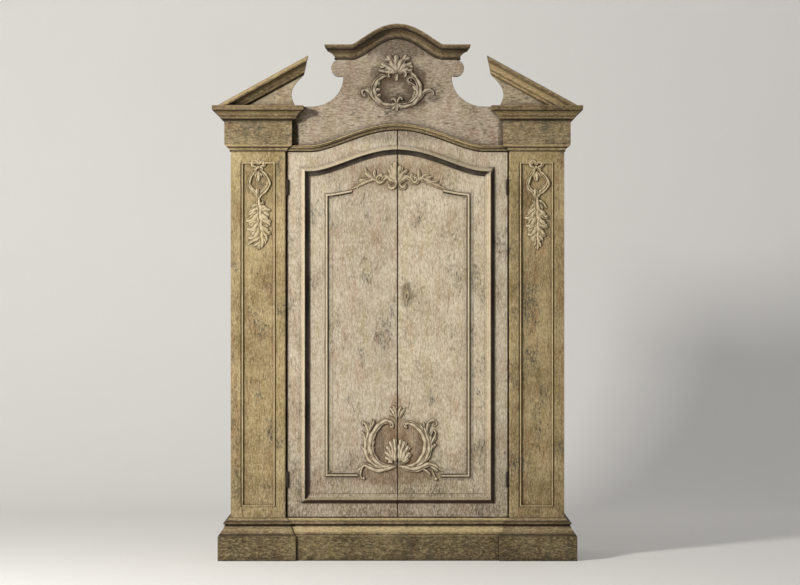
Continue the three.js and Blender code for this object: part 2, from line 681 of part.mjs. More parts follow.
// A moulding round the panel, from the seam along the foot, up the side and over the arched top
function ringMoulding(profile, edge, foot, top, footStart, headEnd) {
  const out = new THREE.Vector3(0, -1, 0);
  const start = { origin: at(footStart, 0, foot), out, up: new THREE.Vector3(0, 0, 1) };
  const lowCorner = { origin: at(edge, 0, foot), out, up: new THREE.Vector3(-1, 0, 1) };
  const first = Math.min(edge - stileWidth / 4, archSpan);
  const curve = spread(first, headEnd, curveSteps).map(x => {
    const station = lineStation(top, x, 0);
    return { ...station, up: station.up.negate() };
  });
  const highCorner = { origin: at(edge, 0, top(edge)), out, up: new THREE.Vector3(-1, 0, -1) };
  curve[curve.length - 1].up.x = 0;
  return sweep(profile, [start, lowCorner, highCorner, ...curve]);
}

function bolection() {
  const width = bolectionOut + bolectionIn;
  const profile = bolectionProfileShares.map(([out, across]) =>
    new THREE.Vector2(out * bolectionHeight, across * width - bolectionOut));
  return ringMoulding(profile, panelEdge, panelFoot, panelTop, seamHalf, seamHalf);
}

function beadTop(x) {
  return doorTop(0) - archRise - beadHead + beadRise * serpentine(x, panelEdge - beadInset / 2);
}

function bead() {
  const profile = scaledProfile(beadProfileShares, beadHeight, beadWidth);
  return ringMoulding(profile, doorHalf - beadInset + beadWidth / 2, doorFoot + beadFoot - beadWidth / 2,
    beadTop, beadFootGap, beadHeadGap);
}

// A carved stroke: a half-round section that follows a curve and narrows to its tip
function stroke({ path, width, tip }, halfWidth, height, foot, centre, seat, side) {
  const points = path.map(([x, z]) => new THREE.Vector3(centre + side * x * halfWidth, 0, foot + z * height));
  const curve = new THREE.CatmullRomCurve3(points, false, 'centripetal');
  const steps = strokeSteps + path.length;
  const stations = spread(0, 1, steps).map(share => {
    const spot = curve.getPointAt(share);
    const along = curve.getTangentAt(share);
    const swell = Math.sin(Math.PI * Math.min(share * 2 + strokeStartShare, 1) / 2) * (1 - (1 - tip) * share * share);
    const half = width * halfWidth * swell;
    const rise = carvingRelief * (strokeLiftShare + swell * (1 - strokeLiftShare));
    return {
      origin: new THREE.Vector3(spot.x, depthAt(seat), spot.z),
      out: new THREE.Vector3(along.z, 0, -along.x).multiplyScalar(half),
      up: new THREE.Vector3(0, -rise, 0),
    };
  });
  return sweep(scaledProfile(strokeProfileShares, 1, 1), stations);
}

function carving(strokes, halfWidth, height, foot, centre, seat, sides) {
  const bodies = sides.flatMap(side => strokes.map(shares =>
    stroke(shares, halfWidth, height, foot, centre, seat, side)));
  return toGeometry(joined(bodies));
}

function addCarvings() {
  const middle = openingHalf + pilasterWidth / 2;
  const seat = pilasterProud - recessDepth;
  const drop = carving(dropStrokeShares, dropHalfWidth, dropHeight, dropFoot, middle, seat, [1, -1]);
  const reliefTop = dropFoot + dropHeight + dropHalfWidth;
  const rail = board([openingHalf, seat - recessDepth, recessTop - fitGap],
    [caseHalf, pilasterProud + fitGap / 2, reliefTop]);
  placePair('carved_drop', cut(drop, [rail]), ochrePaint);
  const cartouche = carving(cartoucheStrokeShares, cartoucheHalfWidth, cartoucheHeight, cartoucheFoot, 0, 0, [1, -1]);
  place('cartouche', cartouche, creamPaint);
  const beyond = board([seamHalf, -carvingRelief, doorFoot], [-doorHalf, carvingRelief * 2, capFoot]);
  const crest = carving(crestStrokeShares, crestHalfWidth, crestHeight, crestFoot, 0, 0, [1]);
  placePair('crest', cut(crest, [beyond]), creamPaint);
  const shell = carving(shellStrokeShares, shellHalfWidth, shellHeight, shellFoot, 0, 0, [1]);
  placePair('shell', cut(shell, [beyond]), creamPaint);
}

function addDoors() {
  placePair('door_frame', doorFrame(), creamPaint);
  placePair('door_panel', doorPanel(), creamPaint);
  placePair('bolection', bolection(), creamPaint);
  placePair('bead', bead(), creamPaint);
}

// Butt hinges: the barrel stands in front of the gap beside the door
function barrel(radius, foot, length) {
  const geometry = new THREE.CylinderGeometry(radius, radius, length, curveSteps);
  return geometry.rotateX(Math.PI / 2).translate(doorHalf, depthAt(hingeAxisReach), foot + length / 2);
}

function hingeLeaf(edge, thickness, foot) {
  const web = board([edge, hingeAxisReach, foot], [edge + thickness, -hingeLeafWidth, foot + hingeLeafLength]);
  return web;
}

function addHinges() {
  ['low', 'high'].forEach((name, i) => {
    const foot = hingeHeights[i] - hingeLeafLength / 2;
    const third = hingeLeafLength / 3;
    const bore = barrel(pinRadius + hingePlay / 2, foot - third, hingeLeafLength * 2);
    const middle = foot + third;
    const caseWeb = hingeLeaf(openingHalf, -hingeLeafThickness, foot);
    const caseKnuckles = [foot, foot + third * 2].map(z => barrel(knuckleRadius, z, third));
    const middleBand = board([doorHalf - knuckleRadius * 2, knuckleRadius * 3, middle - hingePlay],
      [openingHalf, hingePlay / 2 - pinHead / 2, middle + third + hingePlay]);
    const caseLeaf = cut(toGeometry(joined([caseWeb, ...caseKnuckles])), [middleBand]);
    const caseSide = toGeometry(joined([caseLeaf, barrel(pinRadius, foot, hingeLeafLength)]));
    const doorWeb = hingeLeaf(doorHalf, hingeLeafThickness, foot);
    const doorKnuckle = barrel(knuckleRadius, middle, third);
    const ends = [foot, foot + third * 2].map(z => board(
      [doorHalf - knuckleRadius * 2, knuckleRadius * 3, z - hingePlay],
      [openingHalf, hingePlay / 2 - pinHead / 2, z + third + hingePlay]));
    const doorSide = cut(toGeometry(joined([doorWeb, doorKnuckle])), [bore, ...ends]);
    placePair(`hinge_${name}_case_leaf`, caseSide, darkIron);
    placePair(`hinge_${name}_door_leaf`, doorSide, darkIron);
  });
}

// Lock on the right leaf, keeper and surface bolts on the left leaf
function addLock() {
  const back = -panelThickness;
  const boltMiddle = back - lockThickness / 2;
  const half = lockBoltThickness / 2;
  const tall = lockBoltHeight / 2;
  const caseEdge = seamHalf + seamGap;
  const channel = board([seamHalf - seamGap, boltMiddle - half - boltPlay, lockHeight - tall - boltPlay],
    [caseEdge + lockBoltLength + seamGap, boltMiddle + half + boltPlay, lockHeight + tall + boltPlay]);
  const lockCase = board([caseEdge, back, lockHeight - lockLength / 2],
    [caseEdge + lockWidth, back - lockThickness, lockHeight + lockLength / 2]);
  place('lock_case', cut(lockCase, [channel]), darkIron);
  const bolt = board([caseEdge, boltMiddle - half, lockHeight - tall],
    [caseEdge + lockBoltLength, boltMiddle + half, lockHeight + tall]);
  place('lock_bolt', bolt, darkIron);
  const keeper = board([-caseEdge, back, lockHeight - keeperLength / 2],
    [-caseEdge - keeperWidth, back - lockThickness, lockHeight + keeperLength / 2]);
  const mouth = board([0, boltMiddle - half - boltPlay, lockHeight - tall - boltPlay],
    [-caseEdge - lockThrow - seamGap, boltMiddle + half + boltPlay, lockHeight + tall + boltPlay]);
  place('lock_keeper', cut(keeper, [mouth]), darkIron);
}

function surfaceBolt(tipHeight, direction) {
  const near = -surfaceBoltOffset - surfaceBoltWidth / 2;
  const far = -surfaceBoltOffset + surfaceBoltWidth / 2;
  const front = -doorThickness - boltPlay;
  const bolt = board([near, front, tipHeight],
    [far, front - surfaceBoltThickness, tipHeight - direction * surfaceBoltLength]);
  const guideNear = tipHeight - direction * guideInset;
  const guideFar = guideNear - direction * guideLength;
  const guide = board([-surfaceBoltOffset - guideWidth / 2, -doorThickness, guideNear],
    [-surfaceBoltOffset + guideWidth / 2, -doorThickness - guideThickness, guideFar]);
  const channel = board([near - boltPlay, front + boltPlay, guideNear + direction * surfaceBoltWidth],
    [far + boltPlay, front - surfaceBoltThickness - boltPlay, guideFar - direction * surfaceBoltWidth]);
  return { bolt, guide: cut(guide, [channel]) };
}

function addSurfaceBolts() {
  const upper = surfaceBolt(doorTop(surfaceBoltOffset) - boltPlay * 2, 1);
  const lower = surfaceBolt(floorTop + boltPlay * 2, -1);
  place('upper_bolt', upper.bolt, darkIron);
  place('lower_bolt', lower.bolt, darkIron);
  place('lower_bolt_guide', lower.guide, darkIron);
  place('upper_bolt_guide', upper.guide, darkIron);
}

// A small shield round the keyhole on the right leaf
function addEscutcheon() {
  const half = escutcheonWidth / 2;
  const right = escutcheonOutlineShares.map(([x, z]) => new THREE.Vector2(
    escutcheonInset + x * half, lockHeight + z * escutcheonHeight));
  const left = escutcheonOutlineShares.slice(1, -1).map(([x, z]) => new THREE.Vector2(
    escutcheonInset - x * half, lockHeight + z * escutcheonHeight)).reverse();
  const hole = new THREE.Path();
  const slot = keyholeRadius / 2;
  hole.absarc(escutcheonInset, lockHeight, keyholeRadius, -Math.PI / 3, Math.PI + Math.PI / 3, false);
  hole.lineTo(escutcheonInset - slot, lockHeight - keyholeSlot);
  hole.lineTo(escutcheonInset + slot, lockHeight - keyholeSlot);
  const plate = frontBoard([...right, ...left], escutcheonThickness, 0);
  const keyhole = frontBoard(hole.getPoints(curveSteps), escutcheonThickness * 2, -escutcheonThickness);
  place('escutcheon', cut(plate, [keyhole]), creamPaint);
}

addPlinth();
addPilasters();
addEntablature();
addPediment();
addPedimentBoard();
addArchMoulding();
addCapMoulding();
addCase();
addDoors();
addCarvings();
addHinges();
addLock();
addSurfaceBolts();
addEscutcheon();

export default cupboard;
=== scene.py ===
"""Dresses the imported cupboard: worn painted mouldings, carvings, ironwork and a studio stage."""

import math

import bmesh
import bpy
import numpy as np
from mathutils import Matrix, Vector


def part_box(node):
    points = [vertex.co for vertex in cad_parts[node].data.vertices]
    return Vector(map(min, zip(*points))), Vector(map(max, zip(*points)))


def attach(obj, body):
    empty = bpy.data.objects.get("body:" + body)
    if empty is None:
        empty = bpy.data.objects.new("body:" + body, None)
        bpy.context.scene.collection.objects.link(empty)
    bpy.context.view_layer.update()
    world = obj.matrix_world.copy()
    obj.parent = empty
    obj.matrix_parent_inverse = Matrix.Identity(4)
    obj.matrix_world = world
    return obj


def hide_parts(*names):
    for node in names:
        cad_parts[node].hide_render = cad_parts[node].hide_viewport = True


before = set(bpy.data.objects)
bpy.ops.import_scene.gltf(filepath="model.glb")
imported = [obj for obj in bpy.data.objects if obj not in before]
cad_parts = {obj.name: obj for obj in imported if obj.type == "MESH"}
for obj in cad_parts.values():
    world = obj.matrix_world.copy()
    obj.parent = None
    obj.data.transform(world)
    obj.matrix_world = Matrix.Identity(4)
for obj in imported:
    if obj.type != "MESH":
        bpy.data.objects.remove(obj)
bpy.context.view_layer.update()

bl_info = {
    "name": "Painted cupboard",
    "version": (1, 0, 0),
    "blender": (4, 5, 0),
    "location": "3D View > Sidebar > Cupboard",
    "description": "Dresses a tall painted cupboard with worn mouldings, carvings and ironwork",
    "category": "Object",
}

SIDES = {"left": -1.0, "right": 1.0}
MM = 0.001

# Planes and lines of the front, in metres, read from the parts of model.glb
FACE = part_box("door_panel_left")[0][1]
POST_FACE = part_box("pilaster_left")[0][1]
OPENING_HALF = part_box("pilaster_right")[0][0]
CASE_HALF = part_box("pilaster_right")[1][0]
CASE_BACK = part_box("side_board_left")[1][1]
SEAM_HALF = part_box("door_panel_right")[0][0]
SHAFT_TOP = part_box("frieze_block_left")[0][2]
FRIEZE_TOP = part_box("frieze_block_left")[1][2]
CORNICE_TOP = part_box("cornice_left")[1][2]
PLINTH_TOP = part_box("plinth_middle")[1][2]
BASE_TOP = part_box("base_moulding_middle")[1][2]
CENTRE_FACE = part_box("sill_rail")[0][1]
DOOR_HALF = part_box("door_frame_right")[1][0]
DOOR_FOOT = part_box("door_frame_right")[0][2]
DOOR_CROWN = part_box("door_frame_right")[1][2]
LEAF_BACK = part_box("door_frame_right")[1][1]
BOARD_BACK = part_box("pediment_board")[1][1]
PLINTH_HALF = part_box("plinth_block_right")[1][0]
CAP_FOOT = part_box("cap_moulding")[0][2]
PANEL_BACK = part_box("door_panel_right")[1][1]
POST_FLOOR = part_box("carved_drop_right")[1][1]

# Gap between fitted pieces, how far paint wraps round a board's edge, and the most that back boards stand apart
FIT = 0.4 * MM
SKIN = 0.5 * MM
BACK_GAP = 4 * MM

# Photograph to front plane: metres for one picture point, and where the centre line meets the floor
PICTURE_SCALE = 4.844 * MM
PICTURE_CENTRE = 397.5
PICTURE_FLOOR = 560.4
PICTURE_WIDTH = 800
PICTURE_HEIGHT = 585
PICTURE_PLANE = FACE - 30 * MM

# Serpentine lines: how high the crown rises, and how far from the middle the line is level again
ARCH_RISE, ARCH_SPAN = 105 * MM, 415 * MM
CAP_RISE, CAP_SPAN = 100 * MM, 215 * MM
BEAD_RISE, BEAD_SPAN = 52 * MM, DOOR_HALF - 181.5 * MM
BEAD_CROWN = DOOR_CROWN - 304 * MM
DOOR_GAP, HEAD_RAIL = 4 * MM, 95 * MM

# Sizes of single mouldings
ARCH_PROJECTION, ARCH_HEIGHT = 26 * MM, 28 * MM
ARCH_END_LEAN, ARCH_END_INSET = 29.5 * MM, 0.2
CAP_PROJECTION, CAP_HEIGHT, CAP_HALF, CAP_TUCK = 51 * MM, 72 * MM, 303 * MM, 2.8 * MM
BASE_RETURN = 0.83
NECKING_HEIGHT, NECKING_STEP = 0.2, 0.6
RAKING_LEAN = 15 * MM
PANEL_BEAD_HALF = 77.5 * MM
PANEL_BEAD_FOOT, PANEL_BEAD_HEAD = 262 * MM, 1926 * MM
PANEL_BEAD_WIDTH, PANEL_BEAD_HEIGHT = 9 * MM, 13 * MM
BEAD_END = 19 * MM
BEAD_INSETS = {"left": 5.6, "right": 3.2}
BEAD_STARTS = {"left": PICTURE_CENTRE - 357.4, "right": 441.2 - PICTURE_CENTRE}

# Stations along the mouldings: how many, or how far apart
BASE_STATIONS, RAKING_STATIONS, ARCH_STATIONS, CAP_STATIONS, HEAD_STATIONS = 90, 44, 120, 110, 46
CASE_STEP, DOOR_STEP, SLOPE_STEP = 12 * MM, 14 * MM, 0.5 * MM
MITRE_ROOM = 22 * MM

# Edges: degrees from which one is sharp, on boards and on carvings, and from which one is rounded; rounding of pieces
SHARP, CARVED_SHARP, BEVELLED = 38, 60, 30
ARRIS = {"plinth": 2.2 * MM, "board": 3.5 * MM, "panel": 0.8 * MM, "hinge": 0.3 * MM, "iron": 0.8 * MM,
         "escutcheon": 1.0 * MM}

# Wear and hollows: size of a dip in rows and in columns, the share of a profile's reach that counts as a full hollow
# for glaze and painted shade, how much a dip lightens, and each kind of piece's own chance start
DIP_ROWS, DIP_COLUMNS, FULL_HOLLOW, DIP_LIGHT = 2.0, 1.6, 0.12, 0.8
WEAR_START = {"base": 0, "base_middle": 2, "frieze": 10, "cornice": 20, "raking": 30, "arch": 40, "cap": 41,
              "bolection": 50, "bead": 60, "panel_bead": 70}

# Carving: width at a leaf's root, picture points from lobe to lobe, and how full and proud each ornament is
ROOT, LOBE = 0.6, 9.0
FULLNESS = {"cartouche": 1.75, "crest": 2.1, "shell": 1.5, "drop": 1.95}
CREST_RELIEF, KNOB_RELIEF = 0.85, 0.95

# A leaf along its length: places along it for each lobe and for its ends, where it is full, where it starts to narrow,
# by what power, and how blunt its ends are
LOBE_PLACES, END_PLACES = 22, 18
FULL_AT, TAPER_FROM, TAPER_POWER, BLUNTNESS = 0.45, 0.35, 1.3, 14

# A leaf across: where its vein lies, how wide and how deep that is, the power of its dome, and how far it reaches down
VEIN_AT, VEIN_WIDTH, VEIN_DEPTH, DOME_POWER, UNDERSIDE = -0.25, 0.2, 0.4, 0.7, 0.12

# Mouldings: outward share, then upward share
BASE_PROFILE = [
    (0.95, 0), (0.98, 0.03), (0.95, 0.07), (0.84, 0.08), (0.85, 0.12), (0.74, 0.22), (0.62, 0.34), (0.55, 0.46),
    (0.52, 0.56), (0.4, 0.58), (0.38, 0.62), (0.52, 0.65), (0.58, 0.7), (0.55, 0.77), (0.36, 0.8), (0.28, 0.86),
    (0.14, 0.94), (0.08, 1),
]
NECKING_PROFILE = [
    (0.2, 0), (0.2, 0.14), (0.26, 0.34), (0.42, 0.56), (0.7, 0.76), (0.86, 0.82), (0.86, 0.9), (1, 1),
]
CORNICE_PROFILE = [
    (0.1, 0), (0.22, 0.07), (0.37, 0.13), (0.37, 0.25), (0.44, 0.28), (0.5, 0.4), (0.6, 0.51),
    (0.77, 0.59), (0.87, 0.64), (1, 0.66), (1, 1),
]
CAP_PROFILE = [
    (0.06, 0), (0.08, 0.11), (0.0, 0.13), (0.02, 0.17), (0.14, 0.32), (0.32, 0.45), (0.56, 0.55), (0.75, 0.6),
    (0.77, 0.64), (0.7, 0.66), (0.8, 0.7), (0.94, 0.8), (1, 0.9), (1, 1),
]
ARCH_PROFILE = [
    (0, 0), (0.25, 0), (0.35, 0.18), (0.35, 0.26), (0.48, 0.5), (0.8, 0.72), (0.8, 0.8), (1, 0.8), (1, 1), (0, 1),
]
# Millimetres: height above the door, then distance inwards from the joint of panel and frame
BOLECTION_PROFILE = [
    (0, -24), (2.5, -24), (3, -22.5), (7, -20), (13, -15.5), (20, -10), (25.5, -6), (28, -3.5), (27.4, -2), (20, 0),
    (11, 3), (7, 7), (4.5, 12), (3.5, 17), (5, 19.5), (4.2, 22), (0, 23),
]
BEAD_PROFILE = [
    (0, -18), (1.6, -17.6), (1.8, -2), (1.4, -1), (7.4, 0.6), (9.4, 3.2), (9.2, 6.4), (7.6, 8.6), (2, 10), (1.0, 12),
    (1.8, 15), (2.2, 30.5), (1.6, 33), (0, 34),
]

# Painted shading along the mouldings, for the lamp at the upper left: place up or across, then painted shade (above
# nought) or painted highlight (below)
BASE_PAINTED_SHADING = [(0, -0.1), (0.06, 0.1), (0.09, 0.6), (0.14, 0.25), (0.2, -0.15), (0.28, -0.5), (0.4, -0.6), (0.5, -0.4),
             (0.56, 0.25), (0.6, 0.65), (0.64, 0.4), (0.7, 0.1), (0.78, 0.2), (0.86, 0.0), (0.92, -0.8), (0.98, -0.4),
             (1, 0.2)]
# The posts' base blocks take darker painted shading
POST_BASE_PAINTED_SHADING = [(share, painted_shading + 0.35) for share, painted_shading in BASE_PAINTED_SHADING]
FRIEZE_PAINTED_SHADING = [(0, 0.8), (0.03, 0.2), (0.06, -0.4), (0.09, -0.3), (0.12, 0.7), (0.14, 0.1), (0.17, -0.5), (0.2, -0.3),
               (0.23, 0.5), (0.26, 0.1), (0.5, 0.0), (0.9, 0.1), (1, 0.6)]
CORNICE_LOWER_PAINTED_SHADING = [(0, 0.9), (0.06, 0.5), (0.12, 0.0), (0.22, -0.2), (0.26, 0.3), (0.3, 0.1), (0.38, -0.3), (0.54, -0.25),
                 (0.6, 0.1), (0.64, 0.8), (0.68, 0.4)]
# Painted shading that differs between the left and right cornices, since the lamp stands at the left
CORNICE_PAINTED_SHADINGS = {
    "left": CORNICE_LOWER_PAINTED_SHADING + [(0.72, -0.05), (0.94, -0.15), (1, -0.4)],
    "right": CORNICE_LOWER_PAINTED_SHADING + [(0.72, 0.1), (0.94, 0.05), (1, -0.3)],
}
# The lamp at the left lights the right raking cornice's cove and shades the left one's: painted shading
RAKING_PAINTED_SHADINGS = {
    "left": [(0, -0.4), (0.06, -0.1), (0.28, 0.1), (0.32, 0.5), (0.36, 0.6), (0.42, 0.1), (0.6, 0.05), (0.72, 0.15),
             (0.76, -0.2), (0.84, 0.3), (0.88, -0.1), (0.94, 0.5), (1, 0.9)],
    "right": [(0, -0.2), (0.06, 0.2), (0.28, 0.25), (0.32, 0.4), (0.36, 0.0), (0.42, -0.6), (0.6, -0.7), (0.7, -0.3),
              (0.76, 0.0), (0.82, -0.4), (0.9, -0.5), (1, 0.1)],
}
CAP_PAINTED_SHADING = [(0, 1.0), (0.07, 0.8), (0.12, 0.3), (0.18, -0.15), (0.32, -0.25), (0.45, 0.1), (0.56, 0.35), (0.63, 0.8),
            (0.68, 0.5), (0.74, 0.2), (0.86, 0.05), (0.96, -0.15), (1, -0.2)]

# Painted shading where a moulding runs towards the lamp at the upper left, and where it runs away from it
ARCH_FACING = [(0, 0.7), (0.08, 0.4), (0.3, 0.1), (0.42, 0.6), (0.5, 0.6), (0.64, 0.2), (0.74, 0.5), (0.8, 0.3),
               (0.94, 0.1), (1, 0.7)]
ARCH_TURNED = [(0, 0.6), (0.08, 0.2), (0.3, 0.0), (0.42, 0.2), (0.5, 0.3), (0.64, -0.35), (0.74, -0.5), (0.8, 0.1),
               (0.94, 0.3), (1, 0.9)]
BEAD_FACING = [(0, 0), (0.02, 0.4), (0.2, 0.45), (0.28, 0.7), (0.31, 1.0), (0.34, 0.3), (0.38, -0.6), (0.5, -0.5),
               (0.54, 0.3), (0.64, 0.4), (0.7, 0.1), (0.93, 0.05), (0.97, 0.1), (1, 0)]
BEAD_TURNED = [(0, 0), (0.1, 0.05), (0.14, 0.28), (0.3, 0.35), (0.34, -0.2), (0.4, -0.6), (0.52, -0.5), (0.55, 0.7),
               (0.62, 0.9), (0.66, 0.4), (0.7, 0.3), (0.93, 0.3), (0.97, -0.2), (1, 0)]
BOLECTION_FACING = [(0, 0.3), (0.03, 0.8), (0.1, 1.0), (0.34, 1.0), (0.39, 0.6), (0.43, -0.4), (0.53, -0.5),
                    (0.75, -0.45), (0.92, -0.45), (0.97, 0.0), (1, 0)]
BOLECTION_TURNED = [(0, 0.0), (0.08, -0.1), (0.2, -0.3), (0.4, -0.6), (0.44, -0.2), (0.46, 0.8), (0.5, 1.0),
                    (0.96, 1.0), (0.99, 0.3), (1, 0)]
# Directions towards the lamp, along which the painted shading passes from one table to the other
ARCH_SWING = (-1.6, 0)
RING_SWING = (-1.05, 1.05)


def smooth_path(points, count):
    """A smooth curve through the points: each stretch is a cubic whose end slopes are half the chord of its
    neighbours."""
    p = np.asarray(points, float)
    padded = np.vstack([2 * p[0] - p[1], p, 2 * p[-1] - p[-2]])
    place = np.linspace(0, len(p) - 1 - 1e-9, count)
    k = place.astype(int)
    t = (place - k)[:, None]
    a, b, c, d = padded[k], padded[k + 1], padded[k + 2], padded[k + 3]
    return 0.5 * (2 * b + (c - a) * t + (2 * a - 5 * b + 4 * c - d) * t ** 2 + (3 * b - a - 3 * c + d) * t ** 3)


def eased(points, share=0.2, rounds=2):
    """Rounds a profile's corners: each is cut at the given share of the two edges that meet there, then again."""
    p = np.asarray(points, float)
    for _ in range(rounds):
        a, b = p[:-1], p[1:]
        cut = np.empty((2 * len(a), p.shape[1]))
        cut[0::2] = a + share * (b - a)
        cut[1::2] = b - share * (b - a)
        p = np.vstack([p[:1], cut, p[-1:]])
    return p


def eased_loop(points, share=0.2):
    """The same for a profile that closes on itself, without its first point again at the end."""
    return eased(points + points[:1], share)[:-1]


def divided(points, step):
    """Points along a broken line, no more than a step apart, with every corner kept."""
    p = np.asarray(points, float)
    lengths = np.linalg.norm(np.diff(p[:, :2], axis=0), axis=1)
    counts = np.maximum(np.ceil(lengths / step).astype(int), 1)
    marks = np.concatenate([k + np.arange(n) / n for k, n in enumerate(counts)] + [[len(p) - 1.0]])
    index = np.arange(len(p))
    return np.column_stack([np.interp(marks, index, p[:, c]) for c in range(p.shape[1])])


def dents(rows, columns, rng, density):
    """Sum of round dips at chance places: each falls off as a bell with distance in rows and in columns, and the sum
    stops at one."""
    count = max(int(density * columns), 1)
    row0, col0 = rng.uniform(0, rows, count), rng.uniform(0, columns, count)
    size = rng.uniform(0.3, 1.0, count) ** 2
    r = np.exp(-(((np.arange(rows)[:, None] - row0) / DIP_ROWS) ** 2))
    c = np.exp(-(((np.arange(columns)[:, None] - col0) / (DIP_COLUMNS * (0.4 + size))) ** 2))
    return np.minimum((r * size) @ c.T, 1.0)


def hollows(values, window):
    """How far each profile point lies inside the mean of its neighbours: above nought in a hollow, below on an
    arris."""
    kernel = np.ones(2 * window + 1) / (2 * window + 1)
    mean = np.convolve(np.pad(values, window, mode="edge"), kernel, mode="valid")
    return mean - values


def grid_quads(rows, columns, around):
    """Faces between neighbouring rows of points; the last column joins the first when the rows run around."""
    r, c = np.meshgrid(np.arange(rows - 1), np.arange(columns if around else columns - 1), indexing="ij")
    nxt = (c + 1) % columns
    return np.stack([r * columns + c, r * columns + nxt, (r + 1) * columns + nxt, (r + 1) * columns + c],
                    -1).reshape(-1, 4)


def volume_of(points, quads):
    """Six times the volume inside a closed surface: the sum of the triple products of its faces' corners."""
    a, b, c, d = (points[quads[:, i]] for i in range(4))
    return np.sum(np.cross(a, b) * c) + np.sum(np.cross(a, c) * d)


def closed_shell(rings, hollow_shade_and_wear):
    """A tube of rings of points with a flat face on each end, turned so that its faces look outwards."""
    rows, columns, _ = rings.shape
    points = rings.reshape(-1, 3)
    quads = grid_quads(rows, columns, True)
    first = np.arange(columns)[::-1]
    last = np.arange(columns) + (rows - 1) * columns
    centred = points - points.mean(axis=0)
    fans = [np.column_stack([np.full(columns - 2, cap[0]), cap[1:-1], cap[2:], cap[2:]]) for cap in (first, last)]
    if volume_of(centred, np.vstack([quads] + fans)) < 0:
        quads, first, last = quads[:, ::-1], first[::-1], last[::-1]
    return points, quads, [first, last], hollow_shade_and_wear.reshape(-1)


def joined_shells(shells):
    """Several closed shells as one."""
    starts = np.cumsum([0] + [len(shell[0]) for shell in shells[:-1]])
    points = np.vstack([shell[0] for shell in shells])
    quads = np.vstack([shell[1] + start for shell, start in zip(shells, starts)])
    caps = [cap + start for shell, start in zip(shells, starts) for cap in shell[2]]
    return points, quads, caps, np.concatenate([shell[3] for shell in shells])


def hand_over(name, mesh, material, body, nodes, sharp=SHARP):
    """Makes a piece of a mesh: gives it the material and smooth shading with sharp edges, hangs it on the body that
    carries it and hides the CAD nodes that it replaces.
    """
    mesh.materials.clear()
    mesh.materials.append(material)
    mesh.shade_smooth()
    mesh.set_sharp_from_angle(angle=math.radians(sharp))
    piece = bpy.data.objects.new(name, mesh)
    bpy.context.scene.collection.objects.link(piece)
    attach(piece, body)
    if nodes:
        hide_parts(*nodes)
    return piece


def add_piece(name, shell, material, body, nodes, sharp=SHARP):
    """Puts one shell into a mesh, with its values of hollow, painted shade and wear as an attribute, and hands it over.
    """
    points, quads, caps, hollow_shade_and_wear = shell
    mesh = bpy.data.meshes.new(name)
    mesh.from_pydata(points.tolist(), [], quads.tolist() + [cap.tolist() for cap in caps])
    mesh.validate()
    mesh.update()
    values = np.ascontiguousarray(hollow_shade_and_wear, dtype=np.float32)
    mesh.attributes.new("hollow_shade_and_wear", "FLOAT", "POINT").data.foreach_set("value", values)
    hand_over(name, mesh, material, body, nodes, sharp)


def softened(node, material, body, edge=1.2 * MM, segments=2, outer=False):
    """A copy of a CAD node with its loose faces joined, flat areas made whole and its arrises rounded; with outer set,
    edges that lie in a hollow stay as they are."""
    work = bmesh.new()
    work.from_mesh(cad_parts[node].data)
    bmesh.ops.remove_doubles(work, verts=work.verts, dist=0.01 * MM)
    bmesh.ops.dissolve_limit(work, angle_limit=math.radians(0.3), verts=work.verts, edges=work.edges)
    if outer:
        weight = work.edges.layers.float.new("bevel_weight_edge")
        least = math.radians(BEVELLED)
        for line in work.edges:
            line[weight] = float(line.is_manifold and line.is_convex and line.calc_face_angle() > least)
    mesh = bpy.data.meshes.new(node + "_worn")
    work.to_mesh(mesh)
    work.free()
    piece = hand_over(node + "_worn", mesh, material, body, [node])
    bevel = piece.modifiers.new("arris", "BEVEL")
    bevel.width = edge
    bevel.segments = segments
    bevel.limit_method = "WEIGHT" if outer else "ANGLE"
    bevel.angle_limit = math.radians(BEVELLED)
    bevel.use_clamp_overlap = True
    bevel.harden_normals = True
    return piece


# Mouldings

def even(table):
    """Painted shading that is the same all along a moulding: pairs of a share and a value, joined by straight lines."""
    return lambda share: np.interp(share, *np.transpose(table))


def leaning(facing, turned, ups, swing):
    """Painted shading that changes along a moulding with its direction to the lamp: it passes from one table to the
    other as the upward direction swings.
    """
    plane = ups[:, [0, 2]] / np.linalg.norm(ups[:, [0, 2]], axis=1, keepdims=True)
    weight = np.clip(0.5 + plane @ np.asarray(swing, float), 0, 1)[:, None]
    return lambda share: weight * even(facing)(share) + (1 - weight) * even(turned)(share)


def swept(profile, origins, outs, ups, depth, rng, window=3, painted_shading=None):
    """A closed profile carried through stations: point = origin + out * u + up * v, with chance dips where it stands
    out most. Painted shading, if given, is added to the values of hollow, painted shade and wear by the share of the
    profile's width."""
    u, v = profile[:, 0], profile[:, 1]
    reach = np.ptp(u)
    share = (u - u.min()) / reach
    dips = dents(len(profile), len(origins), rng, 0.12) * depth * (share ** 3)[:, None]
    moved = u[:, None] - dips
    rings = origins[:, None, :] + outs[:, None, :] * moved.T[:, :, None] + ups[:, None, :] * v[None, :, None]
    flat = np.repeat(hollows(u, window)[None, :] / (FULL_HOLLOW * reach), len(origins), 0)
    if painted_shading is not None:
        flat = flat + painted_shading((v - v.min()) / np.ptp(v))
    hollow_shade_and_wear = np.clip(flat, -1, 1) - DIP_LIGHT * dips.T / depth
    return closed_shell(rings, np.clip(hollow_shade_and_wear, -1, 1))


